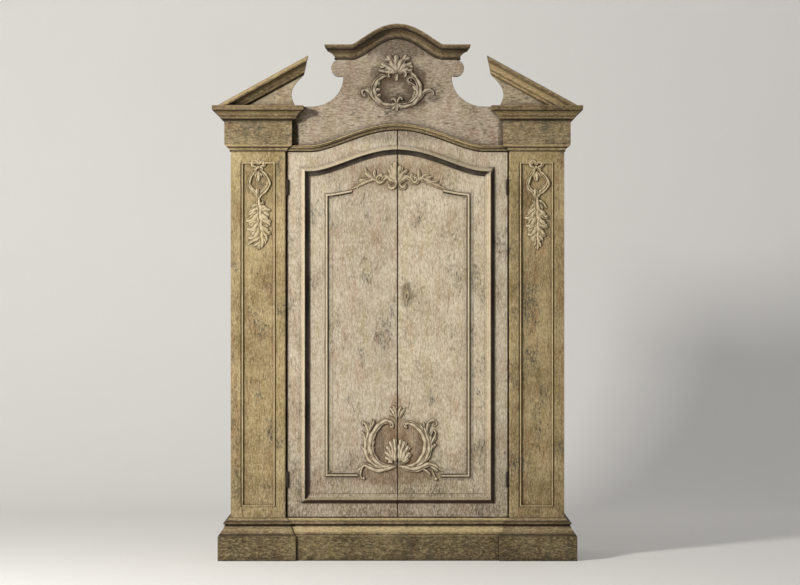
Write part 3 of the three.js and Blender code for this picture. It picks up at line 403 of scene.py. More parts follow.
def wrap(side, profile, foot, rise, inward, outward, corners, seat, depth, rng, painted_shading):
    """Levels of a plan carried up a profile: plan point = rest point + offset * its own direction, with dips on the
    proud levels. Painted shading is added to the values of hollow, painted shade and wear by level: pairs of a height
    share and a value, joined by straight lines."""
    levels = eased(profile, 0.22)
    offset = inward + levels[:, 0] * outward
    height = foot + levels[:, 1] * rise
    run = divided(corners, CASE_STEP)
    share = np.clip(levels[:, 0], 0, 1)
    dips = dents(len(levels), len(run), rng, 0.1) * depth * (share ** 3)[:, None]
    moved = offset[:, None] - dips
    plan = run[None, :, :2] + moved[:, :, None] * run[None, :, 2:]
    fixed = np.repeat(np.asarray(seat, float)[None], len(levels), 0)
    plan = np.concatenate([plan, fixed], 1)
    x = side * plan[:, :, 0]
    y = FACE - plan[:, :, 1]
    z = np.repeat(height[:, None], plan.shape[1], 1)
    flat = np.clip(hollows(levels[:, 0], 3) / FULL_HOLLOW + even(painted_shading)(levels[:, 1]), -1, 1)
    hollow_shade_and_wear = np.repeat(flat[:, None], plan.shape[1], 1)
    hollow_shade_and_wear[:, :len(run)] -= DIP_LIGHT * dips / depth
    return closed_shell(np.stack([x, y, z], -1), np.clip(hollow_shade_and_wear, -1, 1))


def reach_of(y):
    """How far a plane stands before the doors' panels; below nought for one behind them."""
    return FACE - y


def planted_seat():
    """Where a wrap's inner side stands on the pilaster: front corner, outer corner, back corner."""
    post = reach_of(POST_FACE)
    return [(OPENING_HALF, post), (CASE_HALF, post), (CASE_HALF, reach_of(CASE_BACK))]


def serpentine(x, span):
    """One at the middle, falling in a raised cosine to nothing at the span."""
    share = np.minimum(np.abs(x) / span, 1)
    return ((1 + np.cos(np.pi * share)) / 2) ** 0.77


def arch_line(x):
    """Foot of the arch moulding over the doors."""
    return SHAFT_TOP + ARCH_RISE * serpentine(x, ARCH_SPAN)


def cap_line(x):
    """Foot of the cap on the pediment board."""
    return CAP_FOOT + CAP_RISE * serpentine(x, CAP_SPAN)


def door_top(x):
    """Top edge of the door leaves."""
    return arch_line(x) - DOOR_GAP


def panel_top(x):
    """Top edge of the door panels."""
    return door_top(x) - HEAD_RAIL


def bead_top(x):
    """Line of the thin bead under the crest."""
    return BEAD_CROWN + BEAD_RISE * serpentine(x, BEAD_SPAN)


def slope_of(line, x):
    """Slope of a line z = f(x): its rise over a short step to both sides."""
    return (line(x + SLOPE_STEP) - line(x - SLOPE_STEP)) / (2 * SLOPE_STEP)


def facing_room(count):
    """The same outward vector for all stations: towards the room."""
    return np.tile([0.0, -1.0, 0.0], (count, 1))


def line_frame(line, x):
    """Stations on a line z = f(x) across the front: the outward vector faces the room, the upward one is square to
    the line."""
    slope = slope_of(line, x)
    size = np.sqrt(1 + slope ** 2)
    origins = np.column_stack([x, np.full_like(x, FACE), line(x)])
    ups = np.column_stack([-slope / size, np.zeros_like(x), 1 / size])
    return origins, facing_room(len(x)), ups


# Carving

def picture_point(points):
    """Picture points to places on the front, across and up, in metres."""
    p = np.asarray(points, float)
    return np.column_stack([(p[:, 0] - PICTURE_CENTRE) * PICTURE_SCALE, (PICTURE_FLOOR - p[:, 1]) * PICTURE_SCALE])


def stroke(points, width, tip, rise, seat, around=20):
    """A carved leaf: a domed section with a sunk vein, carried along a smooth curve. It swells from its root and
    narrows to its tip, and its edges and back rise and fall in lobes: width and height times a squared sine that
    leans back from the vein."""
    length = np.linalg.norm(np.diff(np.asarray(points, float), axis=0), axis=1).sum()
    lobes = max(int(round(length / LOBE)), 1)
    samples = LOBE_PLACES * lobes + END_PLACES
    path = smooth_path(picture_point(points), samples)
    along = np.gradient(path, axis=0)
    along /= np.maximum(np.linalg.norm(along, axis=1, keepdims=True), 1e-12)
    square = np.column_stack([-along[:, 1], along[:, 0]])
    s = np.linspace(0, 1, samples)
    growth = ROOT + (1 - ROOT) * np.sin(np.pi / 2 * np.clip(s / FULL_AT, 0, 1))
    swell = growth * (1 - (1 - tip) * np.clip((s - TAPER_FROM) / (1 - TAPER_FROM), 0, 1) ** TAPER_POWER)
    ends = np.sqrt(np.clip(1 - np.abs(2 * s - 1) ** BLUNTNESS, 0.0004, 1))
    angle = np.arange(around) * 2 * np.pi / around
    across, lift = np.cos(angle), np.sin(angle)
    ripple = np.sin(np.pi * lobes * (s[:, None] - 0.35 * np.abs(across) / lobes)) ** 2
    half = 0.5 * width * PICTURE_SCALE * (swell * ends)[:, None] * (0.9 + 0.16 * ripple)
    vein = np.exp(-(((across - VEIN_AT) / VEIN_WIDTH) ** 2)) * (lift > 0)
    dome = np.where(lift > 0, np.abs(lift) ** DOME_POWER * (1 - VEIN_DEPTH * vein), -UNDERSIDE)
    height = rise * (0.45 + 0.55 * swell * ends)[:, None] * ends[:, None] * (0.9 + 0.1 * ripple)
    x = path[:, 0, None] + square[:, 0, None] * half * across
    z = path[:, 1, None] + square[:, 1, None] * half * across
    y = FACE - seat - height * dome
    # Glaze and painted shade on the leaf's sides, underside and vein; wear and painted highlight along its crest
    edge = 0.8 * np.where(lift > 0, 1 - np.clip(lift * 1.9, 0, 1), 1)
    crest = np.clip(lift - 0.5, 0, 1) * 2.0 * (1 - vein)
    hollow_shade_and_wear = 0.55 * vein + edge - crest * (0.5 + 0.5 * ripple) + 0.2 * (1 - ripple) * (lift > 0)
    return closed_shell(np.stack([x, y, z], -1), np.clip(hollow_shade_and_wear, -1, 1))


def knob(centre, radius, rise, seat, rings=9, around=18):
    """A small round boss: half a flattened ball."""
    c = picture_point([centre])[0]
    polar = np.linspace(0.02, 1, rings) * np.pi / 2
    angle = np.arange(around) * 2 * np.pi / around
    r = radius * PICTURE_SCALE * np.sin(polar)[:, None]
    x = c[0] + r * np.cos(angle)
    z = c[1] + r * np.sin(angle)
    y = np.repeat((FACE - seat - rise * np.cos(polar))[:, None], around, 1)
    y[-1] = FACE - seat + 0.1 * rise
    # Wear and painted highlight on top, glaze and painted shade towards the foot
    hollow_shade_and_wear = np.repeat((polar / (np.pi / 2) * 1.8 - 0.9)[:, None], around, 1)
    return closed_shell(np.stack([x, y, z], -1), np.clip(hollow_shade_and_wear, -1, 1))


# Strokes of each carving: places in the picture from root to tip, width in picture points, how wide the tip stays, rise
CARTOUCHE = [
    ([(397.0, 72.5), (396.6, 64), (396.4, 54.3)], 4.6, 0.5, 0.9),
    ([(396.6, 71.5), (393.6, 64), (390.4, 58.6), (387.6, 54.6)], 4.4, 0.45, 0.9),
    ([(397.4, 71.5), (400.6, 64), (404.2, 58.6), (407.4, 54.6)], 4.4, 0.45, 0.9),
    ([(390.6, 59.5), (387.2, 58.6), (384.6, 58.6)], 2.6, 0.4, 0.7),
    ([(404.2, 59.5), (407.6, 58.2), (410.4, 57.2)], 2.6, 0.4, 0.7),
    ([(396.2, 72), (390.6, 67.4), (385.8, 64.6), (381.2, 62.6)], 4.4, 0.4, 0.9),
    ([(398, 72), (403.6, 67.2), (408.2, 64.8), (412.6, 62.8)], 4.4, 0.4, 0.9),
    ([(386, 65), (382.6, 66), (379.4, 65.4)], 2.6, 0.4, 0.7),
    ([(408, 65), (411.2, 66.4), (413.8, 66.6)], 2.6, 0.4, 0.7),
    ([(395.6, 72.6), (389, 70.4), (383.6, 70.4), (378.4, 69.2)], 3.6, 0.4, 0.8),
    ([(398.4, 72.6), (405, 70.2), (409.6, 70.4), (413, 69.4)], 3.6, 0.4, 0.8),
    ([(396.4, 72.4), (392.6, 70.9), (389.4, 71.9), (388.2, 75.2), (390.2, 77)], 2.8, 0.5, 0.85),
    ([(398.2, 72.4), (402, 70.9), (405, 71.9), (405.4, 74.9), (403.6, 76.6)], 2.8, 0.5, 0.85),
    ([(397.2, 73), (396.4, 77.5), (397.2, 80.5)], 3.0, 0.4, 0.6),
    ([(388.4, 75.4), (382.8, 75.8), (377.6, 79.6), (374.2, 85.4), (373.6, 91.4), (375.6, 97.2), (380.4, 102.4),
      (386.2, 105), (392.2, 105), (396.6, 103.6)], 3.8, 0.75, 1.0),
    ([(410.4, 71.4), (413.4, 75.2), (417.2, 80.2), (419.6, 86.2), (419.6, 92.4), (417, 98.6), (412.2, 103),
      (405.6, 105), (401, 105), (397.8, 103.8)], 3.8, 0.75, 1.0),
    ([(416.2, 80.4), (413, 77.2), (409.2, 77), (407.4, 79.6), (409, 82.4), (412.6, 83.6), (415, 86.2), (417.6, 89.4)],
     2.2, 0.6, 0.85),
    ([(415.6, 86.6), (416.8, 92.4), (413.6, 98.4), (408.8, 102.4)], 3.4, 0.5, 0.95),
    ([(376.2, 84.6), (378.6, 83.2), (380, 81.6)], 2.9, 0.4, 0.75),
    ([(375.4, 92.2), (377.2, 89.6), (380.8, 89.4)], 3.1, 0.4, 0.75),
    ([(376.6, 97.8), (378.4, 95.4), (381.6, 94.8)], 2.9, 0.4, 0.75),
    ([(418.4, 90), (415.6, 88.2), (413, 84.8)], 2.9, 0.4, 0.75),
    ([(418.6, 95.4), (416.2, 93.8), (413.8, 90.8)], 2.9, 0.4, 0.75),
    ([(415.8, 99.6), (414.4, 97), (412.8, 94.6)], 2.6, 0.4, 0.7),
    ([(384, 104.6), (378.4, 101.4), (372.6, 95.4), (369.2, 90.8), (365.4, 88.4), (361.8, 90.2), (361.4, 93.8),
      (364, 95.8), (366.4, 94)], 2.9, 0.8, 0.85),
    ([(370.2, 92), (368.2, 88.6), (365.2, 86)], 1.9, 0.4, 0.7),
    ([(371.4, 92.8), (370.4, 89.4), (369.2, 86.4)], 1.8, 0.4, 0.7),
    ([(412, 103.4), (417.6, 99.6), (421.8, 94.4), (425.4, 91), (430, 89.9), (433, 92.2), (432.2, 95)], 3.0, 0.6, 0.85),
    ([(423.8, 92.6), (424.8, 90.2), (426.8, 88.2)], 1.9, 0.4, 0.7),
    ([(427.2, 91), (428.8, 89.2), (431.2, 87.6)], 1.9, 0.4, 0.7),
    ([(396.8, 104.4), (396, 100.6), (394, 98.2), (391.8, 99)], 2.1, 0.7, 0.85),
    ([(397.6, 104.4), (398.2, 100.2), (400.2, 97.6), (402.4, 98.6)], 2.1, 0.7, 0.85),
    ([(397.2, 102.6), (396.8, 107), (396.6, 111.4)], 3.2, 0.35, 0.85),
    ([(396.4, 103.8), (393.8, 106.4), (391.8, 109)], 2.7, 0.35, 0.8),
    ([(398, 103.8), (400.2, 106.2), (402, 108.8)], 2.7, 0.35, 0.8),
]
# Bosses: place in the picture, then radius in picture points
CARTOUCHE_KNOBS = [((391.9, 99), 1.5), ((402.1, 98.6), 1.5), ((364.4, 93.6), 1.3), ((411.2, 79.8), 1.2)]

CRESTS = {"left": [
    ([(397.1, 184), (396.2, 172), (396.4, 160.8)], 5.2, 0.6, 1.0),
    ([(396.4, 180), (393.6, 171), (391.4, 163.9)], 3.4, 0.4, 0.9),
    ([(395.6, 181), (391.6, 173.6), (388.6, 168)], 3.2, 0.4, 0.9),
    ([(395, 182), (389.4, 177.4), (383.8, 174.4)], 3.2, 0.4, 0.9),
    ([(396.8, 181), (394.4, 186.2), (391, 187.4), (388.8, 184.6)], 2.6, 0.7, 0.9),
    ([(396, 182), (390.4, 176.6), (385, 177.4), (381.8, 181.4), (378.4, 181.2), (377.2, 178), (379.6, 175.8),
      (381.6, 177.6)], 2.6, 0.7, 0.85),
    ([(384, 178.4), (381.2, 174.4), (378.4, 173.4)], 2.2, 0.4, 0.7),
    ([(377.8, 180.4), (372.6, 178.4), (368.2, 180), (361.4, 182.8), (355.6, 186.4), (350.4, 188.8)], 3.0, 0.35, 0.9),
    ([(374.4, 179), (370, 175.2), (364.2, 173)], 2.5, 0.35, 0.75),
    ([(371, 178.6), (367, 172.4), (364.8, 166.6)], 2.4, 0.35, 0.75),
    ([(367, 180.4), (362, 179), (357.4, 180.2)], 2.3, 0.35, 0.75),
    ([(363, 182.6), (358.8, 184.6), (356, 188.4)], 2.2, 0.5, 0.75),
    ([(376.6, 178.6), (374.4, 173.4), (375.6, 168.6)], 2.2, 0.35, 0.7),
], "right": [
    ([(398.4, 184), (399.2, 172.4), (401.6, 165.4)], 4.6, 0.5, 0.95),
    ([(398.6, 182), (402.6, 174.4), (408, 169.2)], 3.3, 0.4, 0.9),
    ([(399, 183), (404.6, 178.6), (409.6, 175.4)], 3.0, 0.4, 0.9),
    ([(398.2, 181), (400.4, 186.4), (403.8, 187.4), (406.2, 184.8)], 2.6, 0.7, 0.9),
    ([(399, 182), (404.6, 176.8), (410, 178.2), (413.2, 182.2), (416.8, 182), (417.6, 178.6), (415, 176.8),
      (413.4, 178.8)], 2.6, 0.7, 0.85),
    ([(410.4, 179), (411.6, 175.4), (412.2, 172.8)], 2.2, 0.4, 0.7),
    ([(417, 181), (421.4, 178.8), (426.2, 180.4), (432.4, 181.6), (439.8, 181)], 3.0, 0.35, 0.9),
    ([(418.6, 180), (419.2, 174), (418.4, 168.4)], 2.4, 0.35, 0.75),
    ([(420.6, 179.4), (424.6, 175.6), (430, 174.6)], 2.5, 0.35, 0.75),
    ([(425, 180.4), (428.6, 177.6), (433.6, 177)], 2.2, 0.35, 0.75),
    ([(424.4, 180.2), (432, 183.4), (440, 187), (447, 189.4)], 2.4, 0.5, 0.8),
    ([(431, 182), (435.6, 184.6), (441.4, 184.4)], 2.2, 0.35, 0.7),
]}
CREST_KNOBS = {"left": [((389.2, 184.4), 1.4), ((379.8, 178), 1.2)],
               "right": [((405.8, 184.7), 1.4), ((415, 179.2), 1.2)]}

SHELLS = {"left": [
    ([(395.6, 417.4), (393.4, 411.6), (389.6, 407.4)], 3.3, 0.35, 0.7),
    ([(396.2, 414), (395, 409), (392.6, 405.6)], 2.8, 0.35, 0.7),
    ([(396.6, 421), (396.4, 413), (396.6, 406.4)], 2.0, 0.5, 0.6),
    ([(394, 416.4), (391.2, 414.2), (389.4, 411.4)], 2.4, 0.35, 0.6),
    ([(392.6, 465.6), (385, 466.2), (377.8, 462.2), (372.8, 455.4), (370.6, 447.2), (371.4, 438.6), (374.8, 431.4),
      (379.8, 425.2), (385.4, 421.8), (390.4, 422.6), (392.6, 426.2), (390.6, 428.8)], 4.6, 0.5, 1.0),
    ([(376, 434.6), (373.6, 436.6), (373, 440)], 2.8, 0.4, 0.8),
    ([(374.6, 441), (372.8, 443.4), (373, 446.4)], 2.6, 0.4, 0.8),
    ([(374.2, 446.8), (372.6, 449.2), (373.2, 452)], 2.6, 0.4, 0.8),
    ([(384, 467.2), (374.6, 464.4), (368.4, 457.8), (366, 449.4), (366.6, 440.6), (369, 432.4), (371, 425.4),
      (371.6, 418.6)], 3.9, 0.3, 0.95),
    ([(371.4, 428.4), (373.4, 423.6), (374.2, 419.4)], 2.2, 0.3, 0.8),
    ([(367.4, 437.4), (368, 430), (366.4, 424.8), (362.8, 422.6), (361.4, 425)], 3.0, 0.5, 0.85),
    ([(366.6, 447), (365.8, 440), (364, 434.4), (361, 431)], 2.9, 0.3, 0.85),
    ([(367.6, 455.4), (365, 450.4), (360.6, 445)], 2.6, 0.3, 0.8),
    ([(396.6, 466.4), (390, 467.4), (382.6, 469.6), (375, 469.4), (368.8, 466.6), (363.8, 465.2), (359.8, 468.4),
      (357, 472)], 4.4, 0.35, 1.0),
    ([(364.4, 465.4), (361, 469.6), (360, 474.2), (361.4, 478.2), (364, 479)], 2.3, 0.6, 0.9),
    ([(395.4, 462.4), (396, 450), (394.6, 438.6)], 3.8, 0.75, 0.95),
    ([(394.4, 461), (393.4, 450), (390.2, 441)], 3.8, 0.75, 0.95),
    ([(393.6, 461), (390.8, 451.6), (386.8, 446)], 3.7, 0.8, 0.95),
    ([(393, 461.4), (388.8, 454.4), (385.2, 451.2)], 3.6, 0.85, 0.95),
    ([(392.8, 462.2), (388.6, 458.6), (385.6, 456.6)], 3.6, 0.85, 0.95),
    ([(393, 463), (390.4, 461.6), (388.6, 461)], 3.0, 0.85, 0.9),
], "right": [
    ([(398.8, 417.4), (399.4, 411.6), (401.6, 406.6)], 2.9, 0.35, 0.7),
    ([(399.2, 418.4), (402, 413), (405.2, 408.8)], 2.9, 0.35, 0.6),
    ([(406, 466), (412.4, 466), (418.8, 462.2), (423.6, 455.4), (426, 447.2), (425.4, 439.4), (422.2, 432.4),
      (417.2, 427), (411.6, 423.6), (406.6, 423.2), (404.4, 426.4), (406.6, 428.6)], 4.4, 0.5, 1.0),
    ([(421.4, 435), (424, 437.4), (424.8, 440.6)], 2.7, 0.4, 0.8),
    ([(423.6, 442), (425.4, 444.4), (425.2, 447.6)], 2.6, 0.4, 0.8),
    ([(413, 467.2), (422.4, 464), (427.8, 457.2), (430, 449), (429, 440.6), (426.6, 433), (424.8, 427.4),
      (424, 421.8)], 3.8, 0.3, 0.95),
    ([(424.6, 430.4), (421.8, 426.4), (419.4, 423.8)], 2.3, 0.3, 0.8),
    ([(427.4, 434), (427.6, 427.4), (429.6, 422.4), (433.4, 420.8), (436.6, 423.4), (435, 426.6)], 2.7, 0.5, 0.85),
    ([(430, 447.4), (432.8, 441.6), (435.4, 437), (435.8, 432.2), (433.4, 430)], 2.6, 0.4, 0.85),
    ([(430.6, 446.4), (431, 439.6), (431.6, 434.4), (433.4, 431)], 1.7, 0.5, 0.75),
    ([(429.6, 451.6), (432.4, 448), (434.8, 444.8)], 2.5, 0.6, 0.85),
    ([(399, 466.2), (404.4, 468), (411.4, 469.9), (418.6, 469.2), (424.8, 466.2), (430, 464.8), (435.2, 466.6),
      (439.8, 469.8), (444, 472.2)], 4.2, 0.3, 1.0),
    ([(421, 468.6), (426, 471.2), (429, 474), (430.8, 477)], 2.6, 0.3, 0.85),
    ([(430, 467), (434.6, 469.4), (438.4, 472.4)], 2.7, 0.4, 0.85),
    ([(431.4, 469.4), (433.4, 474.4), (435.4, 478.4)], 2.0, 0.7, 0.8),
    ([(400, 462.4), (399.8, 449.6), (401.4, 439.6)], 3.9, 0.8, 0.95),
    ([(401, 462), (402.6, 450), (405.8, 441.4)], 4.2, 0.8, 0.95),
    ([(402, 462), (405.8, 452.4), (409.4, 446.2)], 4.2, 0.8, 0.95),
    ([(402.6, 462.6), (407.2, 457.2), (411, 453)], 4.0, 0.8, 0.95),
    ([(402.4, 463.4), (406, 461), (408.6, 458.6)], 3.4, 0.8, 0.9),
]}
SHELL_KNOBS = {
    "left": [((391.2, 427.2), 1.6), ((363.8, 478.6), 1.7), ((362.4, 424.6), 1.1)],
    "right": [((406.2, 427.2), 1.6), ((436.1, 479.2), 2.2), ((434.8, 445.2), 1.9), ((434.6, 425.8), 1.1)],
}

DROPS = {"left": [
    ([(258.4, 201), (259, 210), (258, 220), (259.6, 231), (260.2, 247)], 8.6, 0.45, 0.42),
    ([(256.4, 207), (252, 212), (248.4, 215)], 3.6, 0.4, 0.6),
    ([(257.4, 216), (252.6, 221.4), (250, 226.6)], 3.8, 0.4, 0.6),
    ([(258, 224.6), (254.4, 230.4), (251.4, 234.4)], 3.8, 0.4, 0.6),
    ([(259, 233), (255.6, 238.6), (250.4, 241.6)], 3.6, 0.4, 0.6),
    ([(260.4, 207), (264.6, 213), (269, 216)], 3.6, 0.4, 0.6),
    ([(260, 216), (264.4, 222.4), (267.2, 228)], 3.8, 0.4, 0.6),
    ([(260.8, 224), (263.2, 231), (268.4, 236)], 3.6, 0.4, 0.6),
    ([(257.9, 167.4), (255.6, 166.4), (252.6, 165), (252.8, 161.6), (255.4, 160.6), (257.4, 162.6), (257.2, 165)],
     2.0, 0.8, 0.9),
    ([(258.3, 167.4), (260.6, 166.4), (263.8, 165), (263.8, 161.6), (261.2, 160.6), (259.2, 162.6), (259, 165)],
     2.0, 0.8, 0.9),
    ([(258.2, 166.6), (255.8, 168.2), (253.8, 170.4)], 2.2, 0.4, 0.8),
    ([(258.6, 166.6), (261, 168), (262.8, 170.2)], 2.2, 0.4, 0.8),
    ([(258.8, 168.6), (263.4, 172.9), (267.4, 178.2), (268.8, 184.6), (265.4, 190.2), (260.8, 194.8), (258, 198.4)],
     2.3, 0.7, 0.85),
    ([(256.8, 169.6), (252.6, 173.4), (249.8, 178.6), (248.8, 186.8), (254.2, 193.2), (257.6, 198)], 2.1, 0.7, 0.85),
    ([(268.2, 181), (265.4, 186.2), (262.6, 189), (259.4, 193)], 1.9, 0.5, 0.75),
    ([(249, 183), (251.6, 188.4), (255, 191.4), (256.8, 194)], 1.9, 0.5, 0.75),
    ([(268.6, 186.6), (267.2, 183), (267.6, 179.6)], 1.8, 0.4, 0.7),
    ([(257.8, 170.4), (257.5, 176), (257.9, 182)], 3.4, 0.35, 0.85),
    ([(257.6, 172.4), (255.2, 174.4), (254, 176.8)], 1.9, 0.4, 0.7),
    ([(258, 172.4), (260.4, 174.2), (261.6, 176.6)], 1.9, 0.4, 0.7),
    ([(257.4, 196), (257, 191.6), (257.2, 188)], 2.8, 0.5, 0.8),
    ([(258, 196), (258.2, 202), (258.8, 208)], 2.8, 0.7, 0.95),
    ([(258.4, 203), (259.6, 209.6), (258.8, 217)], 4.0, 0.4, 1.0),
    ([(259, 213), (260.2, 220), (259.4, 228)], 4.4, 0.4, 1.0),
    ([(259.6, 223.6), (261, 231), (260.4, 239.4)], 4.4, 0.4, 1.0),
    ([(261, 235), (261.8, 241), (260.6, 248)], 3.6, 0.4, 0.95),
    ([(258.4, 200.4), (260.6, 203.4), (263, 202.8), (262.6, 200.6)], 1.8, 0.7, 0.8),
    ([(258, 206), (253.4, 209.4), (248.4, 211)], 3.0, 0.35, 0.85),
    ([(258.4, 204), (254, 204.6), (250.6, 207)], 2.4, 0.35, 0.8),
    ([(258.6, 211), (253.6, 217), (249.4, 220), (245.2, 219.8)], 3.9, 0.45, 0.9),
    ([(256.4, 212), (251.4, 212.4), (247.4, 215.2)], 2.6, 0.35, 0.8),
    ([(258.6, 220), (254.4, 225.6), (250.6, 228.6), (246.8, 227.6)], 3.9, 0.45, 0.9),
    ([(257.6, 221.4), (252.4, 221), (247.6, 222.6)], 2.6, 0.35, 0.8),
    ([(259.6, 227.6), (255.8, 233.4), (252, 237.2), (248, 236.6)], 3.9, 0.45, 0.9),
    ([(258.4, 229.4), (253.6, 229.4), (249.4, 231.4)], 2.5, 0.35, 0.8),
    ([(260.6, 236.4), (254, 239.4), (246.4, 245)], 3.1, 0.35, 0.9),
    ([(261, 240.6), (256.6, 243.4), (252.6, 246.4)], 2.7, 0.35, 0.85),
    ([(259, 206), (264, 207.6), (268.4, 211.4)], 3.0, 0.35, 0.85),
    ([(259.6, 211), (265.6, 209.6), (271, 210.4)], 2.8, 0.35, 0.85),
    ([(259.8, 212.6), (264, 218.2), (267.6, 221.4), (271, 220.8)], 3.8, 0.45, 0.9),
    ([(259.4, 220), (265.6, 221.8), (270.4, 226.2)], 3.1, 0.35, 0.9),
    ([(260.4, 224.6), (264.6, 230), (267.6, 233), (270.6, 232)], 3.8, 0.45, 0.9),
    ([(261, 232.4), (265.2, 236), (266.4, 241.4)], 2.9, 0.35, 0.85),
    ([(261.4, 238), (264.4, 240.6), (264.6, 244.4)], 2.5, 0.35, 0.8),
    ([(260.8, 243), (258.4, 245.8), (259.4, 249.4)], 2.3, 0.5, 0.8),
], "right": [
    ([(537, 201), (537, 210), (536.6, 220), (537.4, 231), (537.2, 247)], 8.6, 0.45, 0.42),
    ([(535.6, 208), (530.6, 213), (527.4, 214)], 3.6, 0.4, 0.6),
    ([(536, 214), (531.6, 219.6), (529.4, 224)], 3.8, 0.4, 0.6),
    ([(536.4, 222), (532.6, 227.4), (528.4, 231)], 3.8, 0.4, 0.6),
    ([(536.8, 231), (533.6, 236.6), (532.4, 242)], 3.6, 0.4, 0.6),
    ([(538, 207), (541.6, 213), (545.6, 218.4)], 3.6, 0.4, 0.6),
    ([(538, 216), (541.6, 222.4), (546.6, 225)], 3.8, 0.4, 0.6),
    ([(538, 224), (541, 231), (543, 236.4)], 3.6, 0.4, 0.6),
    ([(536.2, 167.6), (534, 166.8), (531.2, 165.2), (531.4, 161.8), (534, 160.9), (535.8, 162.8), (535.6, 165.2)],
     2.0, 0.8, 0.9),
    ([(536.8, 167.6), (539, 166.8), (542.2, 165.2), (542, 161.8), (539.4, 160.9), (537.4, 162.8), (537.4, 165.2)],
     2.0, 0.8, 0.9),
    ([(536.6, 167.4), (534, 169), (532.4, 171.4)], 2.2, 0.4, 0.8),
    ([(537, 167.4), (539.6, 168.8), (541.4, 171)], 2.2, 0.4, 0.8),
    ([(537.4, 169), (542.2, 173.2), (546.6, 178), (548.4, 184.8), (543.8, 190.6), (539.6, 194), (536.8, 197.8)],
     2.3, 0.7, 0.85),
    ([(536, 169), (533, 173), (529.6, 179), (527.9, 188), (532.6, 193.2), (536.2, 197.6)], 2.1, 0.7, 0.85),
    ([(547.6, 181.6), (544.6, 186.4), (541, 189.6), (538.4, 193)], 1.9, 0.5, 0.75),
    ([(528.4, 184), (530.8, 188.8), (534, 191.6), (535.6, 194)], 1.9, 0.5, 0.75),
    ([(536.8, 170.8), (536.4, 176), (536.9, 181.6)], 3.4, 0.35, 0.85),
    ([(536.6, 172.6), (534.4, 174.6), (533.4, 177)], 1.9, 0.4, 0.7),
    ([(537, 172.6), (539.4, 174.4), (540.6, 176.8)], 1.9, 0.4, 0.7),
    ([(536.4, 196), (536, 191.8), (536.3, 188.4)], 2.8, 0.5, 0.8),
    ([(536.8, 196), (537, 202), (536.8, 208)], 2.8, 0.7, 0.95),
    ([(537, 203), (537.4, 209.6), (536.6, 217)], 4.0, 0.4, 1.0),
    ([(536.8, 213), (537.8, 220), (537, 228)], 4.4, 0.4, 1.0),
    ([(537, 223.6), (537.6, 231), (537, 239.4)], 4.4, 0.4, 1.0),
    ([(537.2, 235), (537.8, 242), (537.2, 250)], 3.4, 0.4, 0.95),
    ([(537.2, 200.4), (541, 201.4), (544.2, 204), (546.8, 208.8)], 2.0, 0.6, 0.8),
    ([(536.8, 203), (534.6, 201.4), (532.6, 200.6)], 2.0, 0.5, 0.75),
    ([(537, 206.4), (532.4, 209.4), (527.9, 212)], 3.0, 0.35, 0.85),
    ([(536.8, 208.6), (532, 214), (528.4, 217.2), (524.4, 216.8)], 3.8, 0.45, 0.9),
    ([(537, 215.8), (532.6, 221.4), (529.4, 225), (525.8, 224.6)], 3.8, 0.45, 0.9),
    ([(536.6, 219), (532, 218.2), (527.6, 219.4)], 2.5, 0.35, 0.8),
    ([(537.2, 224.4), (534, 230), (531, 233.8), (527.8, 233.4)], 3.8, 0.45, 0.9),
    ([(537, 225.4), (532.2, 225.8), (528, 228.2)], 2.5, 0.35, 0.8),
    ([(537, 233.4), (533.6, 236.4), (530.8, 239.4)], 3.0, 0.35, 0.85),
    ([(537.4, 208), (542, 213), (545.2, 216.8), (548.8, 216.4)], 3.8, 0.45, 0.9),
    ([(537.8, 214.6), (542.6, 214.6), (546.6, 213.4)], 2.4, 0.35, 0.8),
    ([(537.6, 217), (542, 222.4), (545, 225.8), (548.2, 225)], 3.8, 0.45, 0.9),
    ([(537.4, 225.8), (541, 231), (543.6, 234.2), (546.4, 233.4)], 3.7, 0.45, 0.9),
    ([(537.8, 226.4), (542.4, 226), (546.2, 228.8)], 2.5, 0.35, 0.8),
    ([(537.4, 235.4), (540.8, 237.6), (543.2, 241)], 2.8, 0.35, 0.85),
    ([(537.2, 241.4), (540, 244), (540.6, 247)], 2.3, 0.4, 0.8),
    ([(537.2, 241.4), (534.6, 243.4), (533.6, 246.6)], 2.3, 0.4, 0.8),
]}
DROP_KNOBS = {"left": [((258.1, 166.8), 1.9), ((262.7, 201.6), 1.2)],
              "right": [((536.6, 167), 1.9), ((533, 200.8), 1.2)]}


def carving(strokes, knobs, relief, seat, fullness, side=None):
    """All strokes and bosses of one ornament; those of a leaf's half are flattened where the leaves meet."""
    shells = [stroke(points, fullness * width, tip, relief * rise, seat) for points, width, tip, rise in strokes]
    shells += [knob(centre, radius, relief * KNOB_RELIEF, seat) for centre, radius in knobs]
    points, quads, caps, hollow_shade_and_wear = joined_shells(shells)
    if side is not None:
        sign = SIDES[side]
        points[:, 0] = sign * np.maximum(sign * points[:, 0], SEAM_HALF)
    return points, quads, caps, hollow_shade_and_wear


# Paint, wood and iron

def tint(red, green, blue):
    """A screen colour, 0 to 255, as the light that a shader works with."""
    screen = np.array([red, green, blue]) / 255
    light = np.where(screen <= 0.04045, screen / 12.92, ((screen + 0.055) / 1.055) ** 2.4)
    return (*light.tolist(), 1.0)


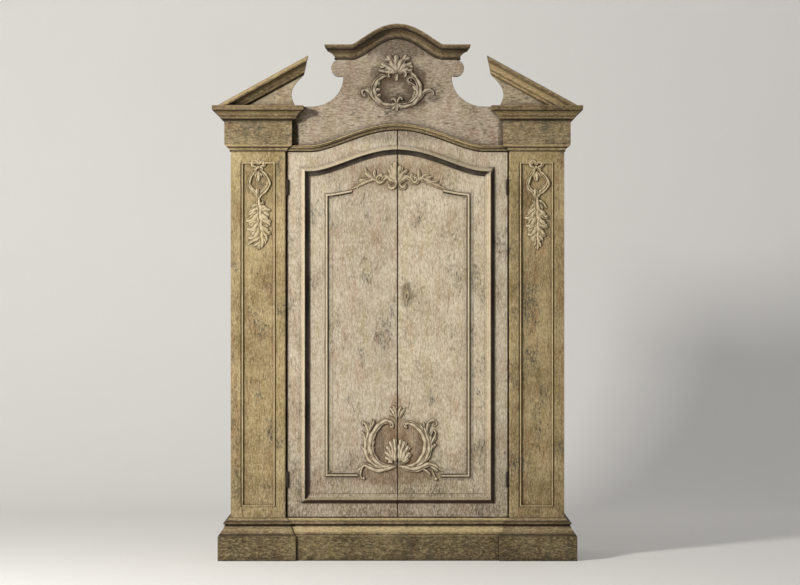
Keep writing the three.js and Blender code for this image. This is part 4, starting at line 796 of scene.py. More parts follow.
class Nodes:
    """One node tree, whose nodes are added and linked in order."""

    def __init__(self, tree):
        self.tree = tree
        self.tree.nodes.clear()

    def node(self, kind, values=None, **settings):
        """A node with its settings; a value for an input is either a number or another node's output."""
        made = self.tree.nodes.new(kind)
        for key, value in settings.items():
            setattr(made, key, value)
        for key, value in (values or {}).items():
            if isinstance(value, bpy.types.NodeSocket):
                self.tree.links.new(value, made.inputs[key])
            else:
                made.inputs[key].default_value = value
        return made

    def maths(self, operation, a, b=0.0):
        """One sum on two values."""
        return self.node("ShaderNodeMath", {0: a, 1: b}, operation=operation).outputs[0]

    def looking(self):
        """One for a ray that only looks, straight or by way of a mirror or glass, and nought for one that lights."""
        rays = self.node("ShaderNodeLightPath").outputs
        either = self.maths("MAXIMUM", rays["Is Glossy Ray"], rays["Is Transmission Ray"])
        return self.maths("MAXIMUM", rays["Is Camera Ray"], either)


class Recipe(Nodes):
    """One material's nodes, which read a point's place on the object."""

    def __init__(self, name):
        self.material = bpy.data.materials.new(name)
        self.material.use_nodes = True
        super().__init__(self.material.node_tree)
        self.place = self.node("ShaderNodeTexCoord").outputs["Object"]
        self.axes = self.node("ShaderNodeSeparateXYZ", {0: self.place}).outputs

    def noise(self, vector, scale, detail=4.0, roughness=0.6):
        """Soft chance values about a half."""
        values = {"Vector": vector, "Scale": scale, "Detail": detail, "Roughness": roughness}
        return self.node("ShaderNodeTexNoise", values).outputs["Fac"]

    def stretched(self, scale, offset=(0, 0, 0)):
        """The point's place with each axis scaled, so that a small scale draws a pattern out along its axis."""
        return self.node("ShaderNodeMapping", {"Vector": self.place, "Scale": scale, "Location": offset}).outputs[0]

    def band(self, value, low, high, bottom=0.0, top=1.0):
        """Bottom up to low, top from high on, and a straight line between."""
        values = {"Value": value, "From Min": low, "From Max": high, "To Min": bottom, "To Max": top}
        return self.node("ShaderNodeMapRange", values).outputs["Result"]

    def vectors(self, operation, values, output="Vector"):
        """One sum on whole places."""
        return self.node("ShaderNodeVectorMath", values, operation=operation).outputs[output]

    def both(self, a, b):
        """The product of two masks: full only where both are."""
        return self.maths("MULTIPLY", a, b)

    def blend(self, factor, a, b, mode="MIX"):
        """One colour passing into another by the factor; sockets 6 and 7 are a mix node's two colours."""
        settings = {"data_type": "RGBA", "blend_type": mode, "clamp_factor": True}
        return self.node("ShaderNodeMix", {0: factor, 6: a, 7: b}, **settings).outputs[2]

    def finish(self, colour, height, roughness, metallic=0.0, bump=0.5):
        """The finished material, from its colour, its height for the bump, its roughness and how metallic it is."""
        normal = self.node("ShaderNodeBump", {"Strength": bump, "Distance": BUMP_DEPTH, "Height": height}).outputs[0]
        values = {"Base Color": colour, "Roughness": roughness, "Metallic": metallic, "Normal": normal,
                  "Specular IOR Level": PAINT_GLOSS}
        shader = self.node("ShaderNodeBsdfPrincipled", values).outputs[0]
        self.node("ShaderNodeOutputMaterial", {"Surface": shader})
        return self.material


# Paint of each kind of piece. The plinth, cornice and cap colours are darker, partly their own colour and partly
# painted shade over the cupboard's top and bottom
LOOKS = {
    "door": {"light": (218, 208, 192), "pale": (199, 187, 166), "deep": (180, 166, 143), "shade": (122, 104, 80),
             "dark": (78, 60, 42), "glaze_and_shade": (60, 42, 25), "worn": (206, 190, 160), "mottle": 0.68, "fleck": 0.7,
             "streak": 0.5, "scratch": 0.3, "umber": (112, 84, 52), "scar": 0.6, "soil_and_shade": (0.6, 0.2, 0.66)},
    "board": {"light": (198, 187, 168), "pale": (180, 166, 146), "deep": (156, 141, 121), "shade": (98, 84, 68),
              "dark": (62, 48, 36), "glaze_and_shade": (50, 36, 24), "worn": (180, 160, 130), "mottle": 0.78, "fleck": 0.8,
              "streak": 0.5, "scratch": 0.8, "umber": (96, 76, 54), "scar": 0.7, "soil_and_shade": (0, 0, 1)},
    "tympanum": {"light": (206, 194, 172), "pale": (182, 168, 142), "deep": (156, 141, 114), "shade": (104, 88, 66),
                 "dark": (54, 42, 28), "glaze_and_shade": (44, 32, 20), "worn": (196, 176, 138), "mottle": 0.6, "fleck": 0.9,
                 "streak": 0.5, "scratch": 0.8, "umber": (96, 76, 54), "scar": 0.9, "soil_and_shade": (0, 0, 1)},
    "post": {"light": (208, 193, 154), "pale": (184, 165, 124), "deep": (138, 118, 80), "shade": (94, 76, 46),
             "dark": (44, 34, 20), "glaze_and_shade": (80, 60, 34), "worn": (206, 186, 144), "mottle": 0.62, "fleck": 0.95,
             "streak": 0.7, "scratch": 0.6, "umber": (84, 66, 36), "scar": 1.0, "soil_and_shade": (0.35, 0.1, 0.7)},
    "frieze": {"light": (180, 164, 128), "pale": (150, 134, 102), "deep": (122, 106, 77), "shade": (80, 65, 43),
               "dark": (36, 28, 18), "glaze_and_shade": (40, 29, 17), "worn": (200, 178, 132), "mottle": 0.85, "fleck": 0.95,
               "streak": 0.6, "scratch": 0.8, "umber": (70, 52, 32), "scar": 0.85, "soil_and_shade": (0, 0, 1)},
    "cornice": {"light": (166, 148, 110), "pale": (126, 108, 76), "deep": (96, 80, 54), "shade": (60, 47, 30),
                "dark": (26, 19, 12), "glaze_and_shade": (28, 20, 11), "worn": (176, 154, 114), "mottle": 0.8, "fleck": 0.95,
                "streak": 0.5, "scratch": 0.5, "umber": (60, 46, 28), "scar": 0.6, "soil_and_shade": (0, 0, 1)},
    "plinth": {"light": (164, 148, 110), "pale": (138, 122, 87), "deep": (92, 78, 51), "shade": (58, 47, 30),
               "dark": (22, 17, 11), "glaze_and_shade": (30, 22, 13), "worn": (156, 134, 92), "mottle": 1.0, "fleck": 1.0,
               "streak": 0.6, "scratch": 0.8, "umber": (58, 44, 26), "scar": 1.0, "soil_and_shade": (0.35, 0.0, 0.5)},
    "carving": {"light": (208, 196, 172), "pale": (185, 171, 146), "deep": (158, 142, 114), "shade": (104, 82, 56),
                "dark": (64, 47, 31), "glaze_and_shade": (50, 34, 20), "worn": (209, 195, 167), "mottle": 0.6, "fleck": 0.5,
                "streak": 0.15, "scratch": 0.0, "umber": (112, 84, 52), "scar": 0.3, "soil_and_shade": (0, 0, 1)},
    "crest": {"light": (190, 177, 151), "pale": (167, 153, 126), "deep": (141, 124, 97), "shade": (96, 76, 50),
              "dark": (64, 47, 31), "glaze_and_shade": (54, 38, 23), "worn": (192, 178, 148), "mottle": 0.6, "fleck": 0.5,
              "streak": 0.15, "scratch": 0.0, "umber": (112, 84, 52), "scar": 0.3, "soil_and_shade": (0, 0, 1)},
    "cartouche": {"light": (178, 166, 146), "pale": (152, 139, 119), "deep": (126, 111, 92), "shade": (84, 68, 52),
                  "dark": (46, 34, 24), "glaze_and_shade": (36, 26, 18), "worn": (181, 168, 146), "mottle": 0.6, "fleck": 0.6,
                  "streak": 0.2, "scratch": 0.0, "umber": (96, 76, 54), "scar": 0.3, "soil_and_shade": (0, 0, 1)},
    "cap": {"light": (154, 138, 106), "pale": (112, 96, 69), "deep": (84, 70, 49), "shade": (54, 42, 28),
            "dark": (24, 18, 12), "glaze_and_shade": (26, 18, 11), "worn": (166, 146, 110), "mottle": 0.85, "fleck": 1.0,
            "streak": 0.5, "scratch": 0.6, "umber": (60, 46, 28), "scar": 0.6, "soil_and_shade": (0, 0, 1)},
    # Near-black paint that makes the hinges read as the shade in the door gaps: painted shade
    "gap_shade": {"light": (70, 56, 40), "pale": (46, 36, 25), "deep": (36, 27, 18), "shade": (24, 18, 12),
            "dark": (14, 10, 7), "glaze_and_shade": (14, 10, 7), "worn": (84, 70, 50), "mottle": 0.5, "fleck": 0.5, "streak": 0.2,
            "scratch": 0.0, "umber": (30, 22, 14), "scar": 0.2, "soil_and_shade": (0, 0, 1)},
    "drop": {"light": (210, 194, 160), "pale": (190, 172, 136), "deep": (162, 143, 106), "shade": (100, 82, 54),
             "dark": (50, 38, 24), "glaze_and_shade": (46, 33, 18), "worn": (206, 190, 156), "mottle": 0.6, "fleck": 0.5,
             "streak": 0.2, "scratch": 0.0, "umber": (84, 66, 36), "scar": 0.3, "soil_and_shade": (0, 0, 1)},
}
# Door paint with a darker glaze, which paints the bolection's shadows
LOOKS["trim_shaded"] = {**LOOKS["door"], "glaze_and_shade": (32, 22, 13)}
# The right panel painted lighter: painted light that makes up for the lamp's fall-off towards the right
LOOKS["panel_right"] = {**LOOKS["door"], "light": (226, 216, 198), "pale": (209, 197, 173), "deep": (189, 174, 148)}
UNDERCOAT = (78, 76, 64)
ROSY = (150, 118, 108)
YELLOWED = (132, 130, 96)
WOOD = {"light": (150, 118, 78), "dark": (92, 66, 40), "joint": (28, 20, 12)}
IRON = {"forged": (58, 50, 44), "rust": (96, 58, 34), "pit": (24, 19, 16)}
# Floor colours; the colour under the lamps is painted shade over their pool of light, for the rays that only look
GROUND = {"sheet": (226, 224, 220), "clouded": (214, 212, 208), "shade_under_lamps": (120, 119, 116)}
BUMP_DEPTH, PAINT_GLOSS = 0.8 * MM, 0.3

# Lamps: place, size and colour; what they are turned to; and the colour of the light all round
LAMPS = {"key": ((-4.4, -5.4, 3.5), 1.0, (1.0, 0.985, 0.95)), "fill": ((5.4, -7.2, 2.0), 3.6, (0.95, 0.98, 1.0))}
LAMP_AIM = (0, 0, 1.3)
ROOM_COLOUR = (0.97, 0.98, 1.0, 1.0)

# Widths of bare boards
BOARD_WIDTH, SHELF_BOARD_WIDTH = 0.26, 0.31

# Grains of the paint: scale, detail and roughness of the noise
GRAINS = {
    "blotch": (6.0, 5.0, 0.62), "drift": (17.0, 4.0, 0.62), "streak": (95.0, 6.0, 0.68), "cluster": (9.0, 5.0, 0.7),
    "mottle": (150.0, 5.0, 0.78), "specks": (120.0, 5.0, 0.78), "grit": (300.0, 3.0, 0.7),
}
# Size of the crack cells, and reach of the ambient occlusion that paints glaze and shade into crevices
CRACK_SCALE, CREVICE_REACH = 95.0, 0.03

# Stains and painted shadows on a front: across, height, half width, half height, strength, how much of it the middle
# has, and which of the look's colours it takes
# Painted shadow along the seam between the door leaves
SEAM = (0, 1.2, 0.0038, 2.4, 0.97, 1, "dark")
STAINS_AND_SHADOWS = {
    # Painted shadow in the left door gap, and painted shade over the right pilaster
    "post": [(-0.5415, 1.2, 0.004, 2.4, 0.97, 1, "dark"), (0.675, 1.2, 0.15, 1.6, 0.12, 1, "umber")],
    # Painted shade inside the cartouche's ring and between its fan's leaves, painted shadows to the right of and below
    # its leaves, broad umber, darker patches under the cap crown and at the lobes, and painted shadows of the frieze
    # blocks, strong on the left
    "board": [
        (-0.006, 2.285, 0.104, 0.084, 0.85, 0.04, "glaze_and_shade"), (0.014, 2.276, 0.13, 0.104, 0.55, 0.0, "glaze_and_shade"),
        (0, 2.375, 0.085, 0.06, 0.85, 1, "glaze_and_shade"), (0.02, 2.29, 0.17, 0.13, 0.25, 1, "umber"),
        (0.1, 2.335, 0.04, 0.06, 0.75, 1, "glaze_and_shade"), (-0.098, 2.36, 0.034, 0.036, 0.55, 1, "glaze_and_shade"),
        (0.075, 2.222, 0.06, 0.02, 0.6, 1, "glaze_and_shade"), (0.18, 2.243, 0.034, 0.022, 0.55, 1, "glaze_and_shade"),
        (-0.09, 2.24, 0.05, 0.018, 0.5, 1, "glaze_and_shade"), (0, 2.4, 0.5, 0.16, 0.22, 1, "umber"),
        (0, 2.56, 0.3, 0.13, 0.66, 1, "glaze_and_shade"), (-0.4, 2.38, 0.06, 0.05, 0.4, 1, "glaze_and_shade"),
        (0.41, 2.38, 0.05, 0.05, 0.3, 1, "glaze_and_shade"), (-0.5, 2.06, 0.022, 0.1, 0.92, 1, "glaze_and_shade"),
        (0.5, 2.06, 0.012, 0.1, 0.5, 1, "glaze_and_shade"),
    ],
    # Painted shade under the arch moulding, and painted shadow in the left door gap
    "door_frame": [(0, 2.1, 0.36, 0.075, 0.45, 1, "glaze_and_shade"), (-0.5335, 1.2, 0.0045, 2.4, 0.9, 1, "glaze_and_shade"), SEAM],
    # Umber and glaze round the shell, the crest and the keyhole plate: brown stains together with painted shade
    "door_panel": [
        (0, 0.64, 0.04, 0.16, 0.55, 1, "umber"), (0, 0.42, 0.2, 0.06, 0.7, 1, "umber"),
        (0, 1.87, 0.2, 0.06, 0.4, 1, "umber"), (0, 1.9, 0.4, 0.12, 0.25, 1, "umber"),
        (0.0446, 1.285, 0.03, 0.07, 0.4, 1, "glaze_and_shade"), (-0.07, 0.559, 0.075, 0.12, 0.8, 0.7, "umber"),
        (0.075, 0.549, 0.08, 0.12, 0.75, 0.65, "umber"), (-0.095, 0.559, 0.03, 0.11, 0.5, 1, "glaze_and_shade"),
        (0.11, 0.54, 0.025, 0.1, 0.4, 1, "glaze_and_shade"), SEAM,
    ],
}


def paint_layers(recipe, look, level, stains_and_shadows=()):
    """Old paint: blotches, rosy and yellowed drifts, mottle, smears, specks and scars in clusters, cracks, glaze and
    painted shade in hollows and crevices, wear and painted highlight on arrises, stains and painted shadows, and dirt
    with painted shade towards the floor. Gives its colour, its height and its roughness."""
    colours = {name: tint(*look[name]) for name in ("light", "pale", "deep", "shade", "dark", "glaze_and_shade", "worn", "umber")}
    along = (0.16, 1, 1) if level else (1, 1, 0.16)
    short = (0.4, 1, 1) if level else (1, 1, 0.4)
    blotch = recipe.noise(recipe.place, *GRAINS["blotch"])
    drift = recipe.noise(recipe.stretched((1, 1, 0.3), (2.3, 0.4, 6.1)), *GRAINS["drift"])
    streak = recipe.noise(recipe.stretched(along), *GRAINS["streak"])
    cluster = recipe.noise(recipe.stretched((1, 1, 0.6), (3.1, 1.7, 5.3)), *GRAINS["cluster"])
    mottle = recipe.noise(recipe.stretched(short, (8.7, 4.3, 1.9)), *GRAINS["mottle"])
    specks = recipe.noise(recipe.stretched(short, (1.9, 6.3, 3.7)), *GRAINS["specks"])
    grit = recipe.noise(recipe.place, *GRAINS["grit"])
    colour = recipe.blend(recipe.band(blotch, 0.36, 0.64, 0.0, 0.8), colours["pale"], colours["deep"])
    colour = recipe.blend(recipe.band(drift, 0.5, 0.64, 0.0, 0.55), colour, tint(*ROSY), "SOFT_LIGHT")
    colour = recipe.blend(recipe.band(drift, 0.5, 0.36, 0.0, 0.55), colour, tint(*YELLOWED), "SOFT_LIGHT")
    colour = recipe.blend(recipe.band(mottle, 0.47, 0.68, 0.0, look["mottle"]), colour, colours["shade"])
    colour = recipe.blend(recipe.band(mottle, 0.49, 0.33, 0.0, look["mottle"]), colour, colours["light"])
    smear = recipe.both(recipe.band(streak, 0.5, 0.66, 0.0, look["streak"]), recipe.band(drift, 0.4, 0.6, 0.4, 1.0))
    colour = recipe.blend(smear, colour, colours["shade"])
    colour = recipe.blend(recipe.band(grit, 0.55, 0.75, 0.0, 0.3), colour, colours["light"])
    hollow_shade_wear = recipe.node("ShaderNodeAttribute", attribute_name="hollow_shade_and_wear").outputs["Fac"]
    speck_mask = recipe.both(recipe.band(specks, 0.55, 0.62), recipe.band(cluster, 0.44, 0.6, 0.1, 1.0))
    speck_mask = recipe.both(speck_mask, recipe.band(hollow_shade_wear, -0.3, 0.05, 0.3, 1.0))
    scratch = recipe.both(recipe.band(streak, 0.57, 0.63), recipe.band(specks, 0.5, 0.58, 0.0, look["scratch"]))
    colour = recipe.blend(scratch, colour, colours["dark"])
    colour = recipe.blend(recipe.both(speck_mask, look["fleck"]), colour, colours["dark"])
    scars = recipe.both(recipe.band(cluster, 0.545, 0.645), recipe.band(specks, 0.44, 0.56, 0.0, look["scar"]))
    colour = recipe.blend(scars, colour, tint(*UNDERCOAT))
    cracks = recipe.node("ShaderNodeTexVoronoi", {"Vector": recipe.place, "Scale": CRACK_SCALE},
                         feature="DISTANCE_TO_EDGE").outputs["Distance"]
    cracked = recipe.both(recipe.band(cracks, 0.0, 0.05, 1.0, 0.0), recipe.band(blotch, 0.45, 0.62, 0.0, 0.35))
    colour = recipe.blend(cracked, colour, colours["dark"])
    # Glaze and painted shade in crevices, from ambient occlusion
    shade = recipe.node("ShaderNodeAmbientOcclusion", {"Distance": CREVICE_REACH}, samples=6).outputs["AO"]
    crevice_glaze_and_shade = recipe.both(recipe.band(shade, 0.35, 0.92, 0.95, 0.0), recipe.band(streak, 0.3, 0.7, 0.8, 1.0))
    colour = recipe.blend(crevice_glaze_and_shade, colour, colours["glaze_and_shade"])
    # Glaze and painted shade in hollows and where the moulding tables paint shade
    sunk_glaze_and_shade = recipe.both(recipe.band(hollow_shade_wear, 0.06, 0.7, 0.0, 0.98), recipe.band(cluster, 0.3, 0.6, 0.86, 1.0))
    colour = recipe.blend(sunk_glaze_and_shade, colour, colours["glaze_and_shade"])
    # Worn paint on arrises and painted highlight where the moulding tables lighten
    proud_wear_and_highlight = recipe.both(recipe.band(hollow_shade_wear, -0.08, -0.55, 0.0, 0.95), recipe.band(mottle, 0.62, 0.42, 0.35, 1.0))
    colour = recipe.blend(proud_wear_and_highlight, colour, colours["worn"])
    # Stains and painted shadows: each a ragged patch of one of the look's colours
    for x, z, half_width, half_height, strength, core, pigment in stains_and_shadows:
        centred = recipe.vectors("SUBTRACT", {0: recipe.place, 1: (x, 0, z)})
        scaled = recipe.vectors("MULTIPLY", {0: centred, 1: (1 / half_width, 0, 1 / half_height)})
        far = recipe.vectors("LENGTH", {0: scaled}, "Value")
        ragged = recipe.maths("ADD", far, recipe.band(cluster, 0.3, 0.7, -0.22, 0.22))
        stain = recipe.both(recipe.band(ragged, 0.8, 1.15, strength, 0.0), recipe.band(ragged, 0.2, 0.75, core, 1.0))
        stain = recipe.both(stain, recipe.band(mottle, 0.35, 0.6, 0.7, 1.0))
        colour = recipe.blend(stain, colour, colours[pigment])
    # Dirt and painted shade towards the floor: strength, the height up to which it is full, and the height where it
    # ends
    strength, low, high = look["soil_and_shade"]
    soil_and_shade = recipe.both(recipe.band(recipe.axes[2], low, high, strength, 0.0),
                       recipe.band(cluster, 0.35, 0.6, 0.55, 1.0))
    soil_and_shade = recipe.both(soil_and_shade, recipe.band(mottle, 0.38, 0.64, 0.35, 1.6))
    colour = recipe.blend(soil_and_shade, colour, colours["dark"])
    height = recipe.maths("SUBTRACT", recipe.both(streak, 0.7), recipe.both(speck_mask, 0.6))
    height = recipe.maths("SUBTRACT", recipe.maths("ADD", height, recipe.both(grit, 0.35)), cracked)
    return colour, height, recipe.band(blotch, 0.3, 0.7, 0.62, 0.86)


def wood_layers(recipe, level, board):
    """Plain boards: long grain, darker joints between boards and stains."""
    along = (0.08, 1, 1) if level else (1, 1, 0.08)
    grain = recipe.noise(recipe.stretched(along), 55.0, 8.0, 0.62)
    stain = recipe.noise(recipe.place, 4.0, 4.0, 0.6)
    colour = recipe.blend(recipe.band(grain, 0.35, 0.68), tint(*WOOD["light"]), tint(*WOOD["dark"]))
    colour = recipe.blend(recipe.band(stain, 0.45, 0.7, 0.0, 0.5), colour, tint(*WOOD["dark"]))
    across = recipe.axes[2] if level else recipe.axes[0]
    share = recipe.maths("FRACT", recipe.maths("DIVIDE", recipe.maths("ADD", across, 10.0), board))
    joint = recipe.band(recipe.maths("ABSOLUTE", recipe.maths("SUBTRACT", share, 0.5)), 0.486, 0.494)
    colour = recipe.blend(recipe.maths("MULTIPLY", joint, 0.8), colour, tint(*WOOD["joint"]))
    height = recipe.maths("SUBTRACT", recipe.maths("MULTIPLY", grain, 0.8), recipe.maths("MULTIPLY", joint, 2.0))
    return colour, height, recipe.band(grain, 0.3, 0.7, 0.7, 0.88)


def painted(name, look, level=False):
    """Old paint on every side; level says that its streaks run across."""
    recipe = Recipe(name)
    return recipe.finish(*paint_layers(recipe, LOOKS[look], level))


def painted_outside(name, look, bare, level=False, stains_and_shadows=()):
    """Paint where the room sees a board, plain wood where bare says; bare gets the recipe and gives 0 or 1."""
    recipe = Recipe(name)
    paint = paint_layers(recipe, LOOKS[look], level, stains_and_shadows)
    wood = wood_layers(recipe, level, BOARD_WIDTH)
    mask = bare(recipe)
    colour = recipe.blend(mask, paint[0], wood[0])
    height, roughness = (recipe.node("ShaderNodeMix", {0: mask, 2: paint[i], 3: wood[i]}).outputs[0] for i in (1, 2))
    return recipe.finish(colour, height, roughness)


def plain_wood(name, board):
    """Bare boards of one width, with upright grain."""
    recipe = Recipe(name)
    return recipe.finish(*wood_layers(recipe, False, board))


def old_iron(name):
    """Forged iron: dark, pitted, with rust in patches."""
    recipe = Recipe(name)
    patch = recipe.noise(recipe.place, 45.0, 6.0, 0.66)
    pits = recipe.noise(recipe.place, 380.0, 4.0, 0.6)
    rust = recipe.band(patch, 0.5, 0.68)
    colour = recipe.blend(rust, tint(*IRON["forged"]), tint(*IRON["rust"]))
    colour = recipe.blend(recipe.band(pits, 0.6, 0.7, 0.0, 0.6), colour, tint(*IRON["pit"]))
    return recipe.finish(colour, pits, recipe.band(patch, 0.4, 0.7, 0.42, 0.85),
                         recipe.band(patch, 0.5, 0.68, 0.8, 0.1))


def behind(depth):
    """Bare wood wherever a point lies behind the given depth."""
    return lambda recipe: recipe.maths("GREATER_THAN", recipe.axes[1], depth)


def inside_of(half):
    """Bare wood wherever a point lies nearer the middle than the given half width."""
    return lambda recipe: recipe.maths("LESS_THAN", recipe.maths("ABSOLUTE", recipe.axes[0]), half)


# Settings

class MouldingSettings(bpy.types.PropertyGroup):
    """Wear of the mouldings and boards"""
    wear: bpy.props.FloatProperty(
        name="Edge wear", description="Deepest chip in a moulding's edge", default=3.2 * MM, min=0, unit="LENGTH")
    arris: bpy.props.FloatProperty(
        name="Arris", description="Rounding of a board's edges", default=1.3 * MM, min=0, unit="LENGTH")
    seed: bpy.props.IntProperty(
        name="Wear seed", description="Start of the chance places of wear", default=11)


class CarvingSettings(bpy.types.PropertyGroup):
    """Depth of the carvings"""
    relief: bpy.props.FloatProperty(
        name="Relief", description="How far the carvings stand out", default=15 * MM, min=0, unit="LENGTH")


class StageSettings(bpy.types.PropertyGroup):
    """Camera, lamps and floor"""
    distance: bpy.props.FloatProperty(
        name="Camera distance", description="From the camera to the doors", default=14.0, unit="LENGTH")
    sensor: bpy.props.FloatProperty(
        name="Sensor width", description="Width of the camera's sensor in millimetres", default=36.0)
    key: bpy.props.FloatProperty(
        name="Key light", description="Power of the main lamp", default=510.0, unit="POWER")
    fill: bpy.props.FloatProperty(
        name="Fill light", description="Power of the fill lamp", default=14.0, unit="POWER")
    sky: bpy.props.FloatProperty(
        name="Room light", description="Strength of the light from all round", default=0.2)
    lift: bpy.props.FloatProperty(
        name="Floor lift", description="Own light of the floor near the cupboard, seen but not cast", default=0.22,
        min=0)
    horizon: bpy.props.FloatProperty(
        name="Horizon lift", description="Paleness of the floor and the room far away, seen but not cast", default=0.66,
        min=0)
    ground: bpy.props.FloatVectorProperty(
        name="Floor colour", description="Colour of floor and backdrop", subtype="COLOR", size=4,
        default=tint(*GROUND["sheet"]), min=0, max=1)


def mouldings():
    """The settings that all mouldings share."""
    return bpy.context.scene.cupboard_mouldings


def wear_of(kind, number=0):
    """The chance numbers of one piece's wear: each kind of piece has its own start, and each piece its number."""
    return np.random.default_rng(mouldings().seed + WEAR_START[kind] + number)


# Pieces

class CUPBOARD_OT_base(bpy.types.Operator):
    """Plinth blocks and the base moulding that wraps them"""
    bl_idname = "cupboard.base"
    bl_label = "Plinth and base moulding"

    def execute(self, context):
        wear = mouldings().wear
        block = painted("plinth_paint", "plinth", True)
        for node in ("plinth_block_left", "plinth_block_right", "plinth_middle"):
            softened(node, block, "case", ARRIS["plinth"], 3)
        look = painted("base_moulding_paint", "frieze", True)
        projection, rise = PLINTH_HALF - CASE_HALF, BASE_TOP - PLINTH_TOP
        post, back, inner = reach_of(POST_FACE), reach_of(CASE_BACK), reach_of(CENTRE_FACE) + FIT
        corners = [(CASE_HALF, back, 1, 0), (CASE_HALF, post, 1, 1), (OPENING_HALF, post, -BASE_RETURN, 1),
                   (OPENING_HALF, inner, -BASE_RETURN, 1)]
        seat = [(OPENING_HALF, inner)] + planted_seat()
        for number, (name, side) in enumerate(SIDES.items()):
            shell = wrap(side, BASE_PROFILE, PLINTH_TOP, rise, 0, projection, corners, seat, wear,
                         wear_of("base", number), POST_BASE_PAINTED_SHADING)
            add_piece(f"base_moulding_{name}_worn", shell, look, "case", [f"base_moulding_{name}"])
        self.middle(look, projection, rise)
        return {"FINISHED"}

    def middle(self, look, projection, rise):
        """The straight length between the posts, cut on both ends to meet the returns."""
        profile = eased([(0, 0)] + BASE_PROFILE + [(0, 1)]) * (projection, rise)
        half = OPENING_HALF - FIT
        count = BASE_STATIONS
        origins = np.column_stack([np.linspace(-half, half, count), np.full(count, CENTRE_FACE),
                                   np.full(count, PLINTH_TOP)])
        outs = facing_room(count)
        outs[0, 0], outs[-1, 0] = BASE_RETURN, -BASE_RETURN
        ups = np.tile([0.0, 0.0, 1.0], (count, 1))
        shell = swept(profile, origins, outs, ups, mouldings().wear, wear_of("base_middle"), painted_shading=even(BASE_PAINTED_SHADING))
        add_piece("base_moulding_middle_worn", shell, look, "case", ["base_moulding_middle"])


class CUPBOARD_OT_posts(bpy.types.Operator):
    """Pilasters with their sunk panels"""
    bl_idname = "cupboard.posts"
    bl_label = "Pilasters"

    def execute(self, context):
        look = painted_outside("pilaster_paint", "post", behind(BOARD_BACK - SKIN), False, STAINS_AND_SHADOWS["post"])
        for name in SIDES:
            softened(f"pilaster_{name}", look, "case", mouldings().arris)
        for number, (name, side) in enumerate(SIDES.items()):
            self.panel_bead(name, side, look, number)
        return {"FINISHED"}

    def panel_bead(self, name, side, look, number):
        """A half-round bead on the floor of the sunk panel: four runs with mitred ends."""
        centre = side * (OPENING_HALF + CASE_HALF) / 2
        left, right = centre - PANEL_BEAD_HALF, centre + PANEL_BEAD_HALF
        corners = np.array([(left, PANEL_BEAD_FOOT), (right, PANEL_BEAD_FOOT), (right, PANEL_BEAD_HEAD),
                            (left, PANEL_BEAD_HEAD)])
        turn = np.linspace(0, np.pi, 13)
        profile = np.column_stack([PANEL_BEAD_HEIGHT * np.sin(turn), -0.5 * PANEL_BEAD_WIDTH * np.cos(turn)])
        runs = []
        for start, end in zip(corners, np.roll(corners, -1, axis=0)):
            direction = (end - start) / np.linalg.norm(end - start)
            line = divided([start, end], CASE_STEP)
            ups = np.tile([-direction[1], direction[0]], (len(line), 1))
            ups[0] += direction
            ups[-1] -= direction
            origins = np.column_stack([line[:, 0], np.full(len(line), POST_FLOOR), line[:, 1]])
            ups = np.column_stack([ups[:, 0], np.zeros(len(line)), ups[:, 1]])
            runs.append(swept(profile, origins, facing_room(len(line)), ups, mouldings().wear * 0.5,
                              wear_of("panel_bead", number), 2))
        add_piece(f"panel_bead_{name}", joined_shells(runs), look, "case", [])


class CUPBOARD_OT_entablature(bpy.types.Operator):
    """Frieze blocks with their necking, and the cornices above"""
    bl_idname = "cupboard.entablature"
    bl_label = "Friezes and cornices"

    def execute(self, context):
        wear = mouldings().wear
        frieze_look = painted("frieze_paint", "frieze", True)
        cornice_look = painted("cornice_paint", "cornice", True)
        post, back, board = reach_of(POST_FACE), reach_of(CASE_BACK), reach_of(BOARD_BACK)
        frieze_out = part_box("frieze_block_right")[1][0] - CASE_HALF
        cornice_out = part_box("cornice_right")[1][0] - CASE_HALF - frieze_out
        corners = [(CASE_HALF, back, 1, 0), (CASE_HALF, post, 1, 1), (OPENING_HALF, post, -1, 1),
                   (OPENING_HALF, 0, -1, 0)]
        seat = [(OPENING_HALF, 0)] + planted_seat()
        neck = [(u, v * NECKING_HEIGHT) for u, v in NECKING_PROFILE] + [(1, NECKING_STEP), (1, 1)]
        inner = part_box("side_board_right")[0][0]
        cover = [(OPENING_HALF, 0), (OPENING_HALF, board), (inner, board), (inner, back)]
        for number, (name, side) in enumerate(SIDES.items()):
            shell = wrap(side, neck, SHAFT_TOP, FRIEZE_TOP - SHAFT_TOP, 0, frieze_out, corners, seat, wear * 0.5,
                         wear_of("frieze", number), FRIEZE_PAINTED_SHADING)
            add_piece(f"frieze_block_{name}_worn", shell, frieze_look, "case", [f"frieze_block_{name}"])
            shell = wrap(side, CORNICE_PROFILE, FRIEZE_TOP, CORNICE_TOP - FRIEZE_TOP, frieze_out, cornice_out,
                         corners, cover, wear, wear_of("cornice", number), CORNICE_PAINTED_SHADINGS[name])
            add_piece(f"cornice_{name}_worn", shell, cornice_look, "case", [f"cornice_{name}"])
        return {"FINISHED"}


